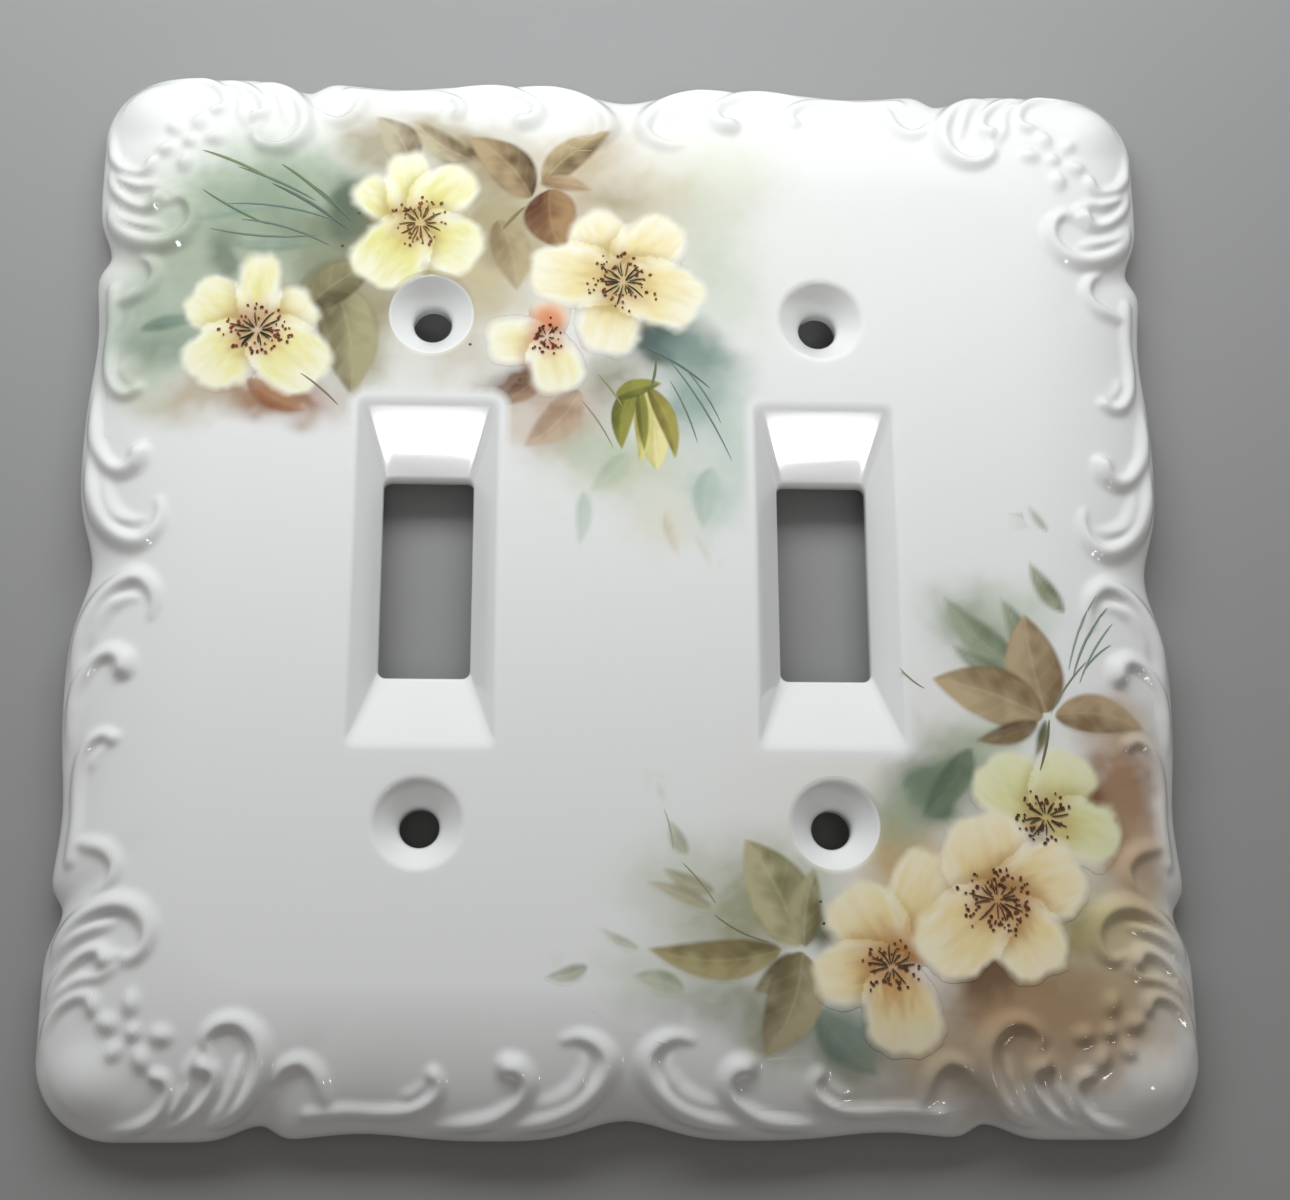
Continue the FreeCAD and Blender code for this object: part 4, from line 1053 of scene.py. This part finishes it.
BUD = [
    ((2.2, 20.6), (3.4, 10.8), 4.6, 0.3, (236, 228, 168), (196, 188, 110), 1.0),
    ((1.6, 20.4), (1.4, 11.6), 2.4, 0.5, (222, 216, 140), (170, 160, 84), 0.95),
    ((0.6, 21.4), (-0.6, 13.4), 2.9, -0.6, (150, 150, 72), (96, 98, 40), 1.0),
    ((1.4, 21.6), (2.0, 13.0), 1.7, 0.1, (146, 146, 70), (104, 100, 44), 1.0),
    ((2.4, 21.4), (5.6, 12.2), 2.5, 0.8, (168, 160, 84), (112, 104, 46), 1.0),
    ((-1.4, 20.0), (4.2, 21.8), 2.4, 0.4, (150, 150, 72), (92, 98, 42), 1.0),
]


def budding(x, y):
    """The painting with the bud laid over it."""
    return lay_leaves(x, y, painting(x, y), BUD, 0.3)


mesh = coat_mesh(
    "painted_rosebud", (-3, 9, 8, 24), 0.14, lambda x, y: leaves_edge(x, y, BUD), PETAL_LIFT, budding
)
add_piece(mesh, glazed("glaze_rosebud"), ["rosebud_upper"])

# ------------------------------------------------------------------ grass strokes
# Single long strokes of a pointed brush behind the flowers, and a few specks of colour that
# dropped off it. Each stands up a little as a thin bead of glass.

# Each stroke: start, end, width, bow, colour.
GRASS_UPPER = [
    ((-51.0, 51.2), (-41.6, 46.6), 0.38, 0.3, (122, 138, 99)),
    ((-46.6, 48.8), (-37.0, 44.4), 0.34, 0.3, (110, 132, 113)),
    ((-41.4, 49.2), (-34.8, 43.6), 0.38, 0.3, (110, 129, 96)),
    ((-50.6, 45.8), (-42.6, 41.2), 0.32, -0.3, (113, 129, 102)),
    ((-47.6, 43.8), (-34.6, 41.8), 0.29, 0.8, (118, 138, 127)),
    ((-49.4, 40.6), (-36.4, 40.0), 0.29, -0.6, (118, 136, 124)),
    ((-42.4, 46.6), (-33.2, 40.8), 0.42, 0.4, (96, 116, 104)),
    ((-38.4, 47.0), (-32.8, 41.8), 0.34, 0.3, (101, 118, 102)),
    ((-45.8, 41.8), (-35.2, 38.6), 0.29, 0.7, (113, 132, 121)),
    ((-14.8, 41.2), (-12.2, 44.2), 0.42, 0.1, (135, 133, 90)),
    ((-38.0, 22.4), (-33.4, 18.4), 0.26, 0.2, (135, 132, 104)),
    ((-3.4, 22.8), (-0.6, 18.8), 0.24, 0.2, (151, 151, 119)),
    ((2.0, 26.4), (9.8, 21.2), 0.27, 0.4, (101, 118, 115)),
    ((4.0, 26.0), (12.2, 12.2), 0.22, 0.6, (118, 135, 129)),
    ((5.0, 22.2), (8.2, 14.4), 0.22, 0.3, (122, 136, 124)),
    ((3.4, 25.0), (2.6, 20.6), 0.34, 0.2, (116, 122, 87)),
    ((6.4, 24.2), (11.0, 16.8), 0.20, 0.4, (119, 138, 133)),
    ((-5.4, 19.6), (-1.6, 13.6), 0.20, 0.3, (152, 155, 135)),
    ((-33.9, 38.6), (-33.5, 38.6), 0.34, 0, (88, 82, 69)),
    ((-32.1, 42.9), (-31.7, 42.9), 0.31, 0, (82, 93, 77)),
    ((-18.6, 26.3), (-18.2, 26.3), 0.34, 0, (107, 90, 80)),
    ((-12.7, 22.0), (-12.3, 22.0), 0.34, 0, (97, 79, 69)),
]
GRASS_LOWER = [
    ((50.6, -13.4), (55.4, -4.6), 0.31, 0.6, (136, 155, 144)),
    ((51.4, -13.8), (56.0, -6.4), 0.26, 0.4, (141, 158, 149)),
    ((50.2, -12.4), (53.8, -3.4), 0.26, 0.4, (147, 163, 152)),
    ((51.8, -12.6), (55.6, -9.0), 0.22, 0.3, (129, 147, 135)),
    ((9.4, -40.0), (15.4, -43.0), 0.22, -0.4, (143, 141, 113)),
    ((6.0, -34.4), (9.6, -38.8), 0.19, 0.2, (158, 158, 135)),
    ((4.0, -28.4), (5.0, -33.0), 0.17, 0.2, (179, 182, 163)),
    ((33.6, -14.6), (30.8, -12.2), 0.19, 0.2, (158, 151, 119)),
    ((47.6, -18.0), (46.2, -24.0), 0.36, 0.2, (116, 116, 90)),
    ((47.8, -17.4), (52.4, -11.2), 0.24, 0.3, (136, 138, 113)),
    ((21.2, -41.0), (21.6, -41.0), 0.34, 0, (76, 82, 73)),
    ((20.9, -38.6), (21.3, -38.6), 0.26, 0, (88, 99, 90)),
]
SPINDLE_STATIONS = 9
SPINDLE_SIDES = 8


def strokes_mesh(name, strokes, rise, lift):
    """Strokes of thick colour as closed spindles: rings of points round a bowed line whose
    width and height swell as a half circle between the two pointed ends."""
    start, end = (np.array([stroke[k] for stroke in strokes], float)[:, None, None] for k in (0, 1))
    width, bow = (np.array([stroke[k] for stroke in strokes], float)[:, None, None] for k in (2, 3))
    share = (0.5 - 0.5 * np.cos(np.linspace(0, math.pi, SPINDLE_STATIONS)))[None, :, None]
    turn = np.linspace(0, 2 * math.pi, SPINDLE_SIDES, endpoint=False)[None, None, :]
    swell = np.sqrt(np.maximum(4 * share * (1 - share), 0))
    run = end - start
    away = np.stack([-run[..., 1], run[..., 0]], -1) / np.linalg.norm(run, axis=-1, keepdims=True)
    side = 4 * bow * share * (1 - share) + swell * width / 2 * np.cos(turn)
    x = start[..., 0] + share * run[..., 0] + side * away[..., 0]
    y = start[..., 1] + share * run[..., 1] + side * away[..., 1]
    up = lift + swell * np.sin(turn) * np.where(np.sin(turn) > 0, rise, 0.2)
    points = face_point(x, y, slope_height(inset_at(x, y)), up)
    rings = points[:, 1:-1].reshape(len(strokes), -1, 3)
    tips = points[:, [0, -1], 0]
    points = np.concatenate([rings, tips], axis=1)
    size, last = points.shape[1], rings.shape[1]
    k = np.arange(SPINDLE_SIDES)
    on = (k + 1) % SPINDLE_SIDES
    rows = np.arange(SPINDLE_STATIONS - 3)[:, None] * SPINDLE_SIDES
    next_row = rows + SPINDLE_SIDES
    quads = np.stack([rows + k, rows + on, next_row + on, next_row + k], -1).reshape(-1, 4)
    fans = np.vstack([
        np.c_[on, k, np.full(len(k), last)],
        np.c_[last - SPINDLE_SIDES + k, last - SPINDLE_SIDES + on, np.full(len(k), last + 1)],
    ])
    shift = (np.arange(len(strokes)) * size)[:, None, None]
    faces = (quads + shift).reshape(-1, 4).tolist() + (fans + shift).reshape(-1, 3).tolist()
    mesh = bpy.data.meshes.new(name)
    mesh.from_pydata((points.reshape(-1, 3) * MM).tolist(), [], faces)
    work = bmesh.new()
    work.from_mesh(mesh)
    bmesh.ops.recalc_face_normals(work, faces=work.faces)
    work.to_mesh(mesh)
    work.free()
    mesh.polygons.foreach_set("use_smooth", np.ones(len(mesh.polygons), bool))
    paint_mesh(mesh, np.repeat([tint(*stroke[4]) for stroke in strokes], size, axis=0))
    return mesh


for name, strokes in (("grass_strokes_upper", GRASS_UPPER), ("grass_strokes_lower", GRASS_LOWER)):
    mesh = strokes_mesh(f"painted_{name}", strokes, 0.03, 0.04)
    add_piece(mesh, glazed(f"glaze_{name}"), [name])

# ------------------------------------------------------------------ stamens
# The last firing: filaments drawn outward from the heart of each rose with a pen, and rust
# brown drops of colour for the anthers scattered round them.

# Each rose: centre, two reaches, how many filaments and anthers, their colours.
STAMENS = {
    "rose_outer_left": ((-43.2, 27.6), (4.4, 3.6), 16, 62, (52, 58, 40), (122, 60, 40)),
    "rose_top_left": ((-24.6, 41.8), (3.6, 3.6), 20, 44, (122, 92, 52), (132, 80, 46)),
    "rose_inner_small": ((-9.4, 27.4), (1.9, 2.6), 6, 34, (110, 52, 36), (104, 40, 30)),
    "rose_top_centre": ((-0.4, 34.6), (4.4, 3.9), 22, 60, (66, 66, 50), (122, 68, 36)),
    "rose_lower_right": ((46.5, -29.2), (3.5, 3.3), 16, 46, (74, 54, 36), (92, 44, 28)),
    "rose_lower_left": ((28.6, -45.6), (3.6, 3.2), 14, 44, (72, 56, 36), (104, 58, 30)),
    "rose_lower_gold": ((40.6, -38.4), (4.4, 4.0), 18, 84, (86, 52, 30), (100, 48, 26)),
}


def stamen_strokes(centre, reach, filaments, anthers, stem, cap, seed):
    """Filaments from a small heart outwards and round drops among their ends, strewn at random
    but thicker half way out."""
    chance = np.random.default_rng(seed)
    strokes = []
    for turn in np.linspace(0, 2 * math.pi, filaments, endpoint=False) + chance.uniform(-0.2, 0.2, filaments):
        aim = np.array([math.cos(turn) * reach[0], math.sin(turn) * reach[1]])
        near, far = chance.uniform(0.05, 0.2), chance.uniform(0.42, 0.8)
        strokes.append((near * aim + centre, far * aim + centre, 0.16, chance.uniform(-0.15, 0.15), stem))
    for turn in chance.uniform(0, 2 * math.pi, anthers):
        aim = np.array([math.cos(turn) * reach[0], math.sin(turn) * reach[1]])
        place = (0.3 + 0.75 * chance.beta(2.0, 1.8)) * aim + centre
        size = chance.uniform(0.22, 0.5)
        slant = chance.uniform(0, math.pi)
        half = 0.5 * size * np.array([math.cos(slant), math.sin(slant)])
        shade = chance.uniform(0.8, 1.25)
        drop = np.minimum(np.array(cap) * shade, 255)
        strokes.append((place - half, place + half, 0.8 * size, 0, tuple(drop)))
    return strokes


for seed, (name, values) in enumerate(STAMENS.items()):
    mesh = strokes_mesh(f"painted_{name}_stamens", stamen_strokes(*values, seed), 0.07, 0.15)
    add_piece(mesh, glazed(f"glaze_{name}_stamens"), [f"{name}_stamens"])

# The glaze between and under the coats shows the same painting, up to the rims of the holes.
points = mesh_points(casting.data)
front = (points[:, 2] > 3.2) & (clear_of_holes(points[:, 0], points[:, 1]) > -0.5)
colours = np.tile(WHITE, (len(points), 1))
colours[front] = painting(points[front, 0], points[front, 1])
paint_mesh(casting.data, colours)

# ------------------------------------------------------------------ table, light and camera
# A plain pale table, one broad lamp beyond the top edge that leaves no mirror image, two narrow
# spots behind the viewer that the upper bevels mirror, a small warm one to the right that glints
# on the scrolls, and a weak even surround.


def add_stage():
    """The table as one large square at the wall plane."""
    size = 2.0
    mesh = bpy.data.meshes.new("table_top")
    corners = [(-size, -size, 0), (size, -size, 0), (size, size, 0), (-size, size, 0)]
    mesh.from_pydata(corners, [], [(0, 1, 2, 3)])
    table = bpy.data.objects.new("table_top", mesh)
    bpy.context.scene.collection.objects.link(table)
    shader = Shader("table_paint")
    mesh.materials.append(shader.finish(Base_Color=(0.31, 0.31, 0.31, 1), Roughness=0.6))


def add_lamp(name, place, aim, size, power, colour, spread=180, mirrored=True):
    """A flat rectangular lamp turned to a point, with its beam's angle in degrees."""
    lamp = bpy.data.lights.new(name, "AREA")
    lamp.shape = "RECTANGLE"
    lamp.size, lamp.size_y = size
    lamp.energy = power
    lamp.color = colour
    lamp.spread = math.radians(spread)
    holder = bpy.data.objects.new(name, lamp)
    holder.location = place
    holder.rotation_euler = (Vector(aim) - Vector(place)).to_track_quat("-Z", "Y").to_euler()
    holder.visible_glossy = mirrored
    bpy.context.scene.collection.objects.link(holder)


add_stage()
add_lamp(
    "window_light", (-0.025, 0.185, 0.170), (0, 0, 0), (0.36, 0.10), 0.76, (0.96, 0.99, 1.0), mirrored=False
)
for side, place_x, aim_x in (("left", -0.064, -0.023), ("right", 0.120, 0.023)):
    place = (place_x, -0.318, 0.60)
    add_lamp(f"{side}_spot", place, (aim_x, 0.074, 0), (0.085, 0.062), 0.0036, (1, 1, 1), spread=13)
add_lamp("side_glint", (0.25, -0.28, 0.35), (0, 0, 0), (0.035, 0.035), 0.05, (1.0, 0.93, 0.82))

world = bpy.data.worlds.new("surround")
world.use_nodes = True
world.node_tree.nodes["Background"].inputs["Color"].default_value = (1.0, 0.965, 0.93, 1)
world.node_tree.nodes["Background"].inputs["Strength"].default_value = 0.22
bpy.context.scene.world = world

view = bpy.data.cameras.new("camera")
view.sensor_width = 36.0
view.lens = 55.62
camera = bpy.data.objects.new("camera", view)
camera.location = (-0.0093, -0.0658, 0.2258)
camera.rotation_euler = [math.radians(a) for a in (15.718, -2.921, -0.199)]
bpy.context.scene.collection.objects.link(camera)
bpy.context.scene.camera = camera
bpy.context.scene.view_settings.view_transform = "Standard"
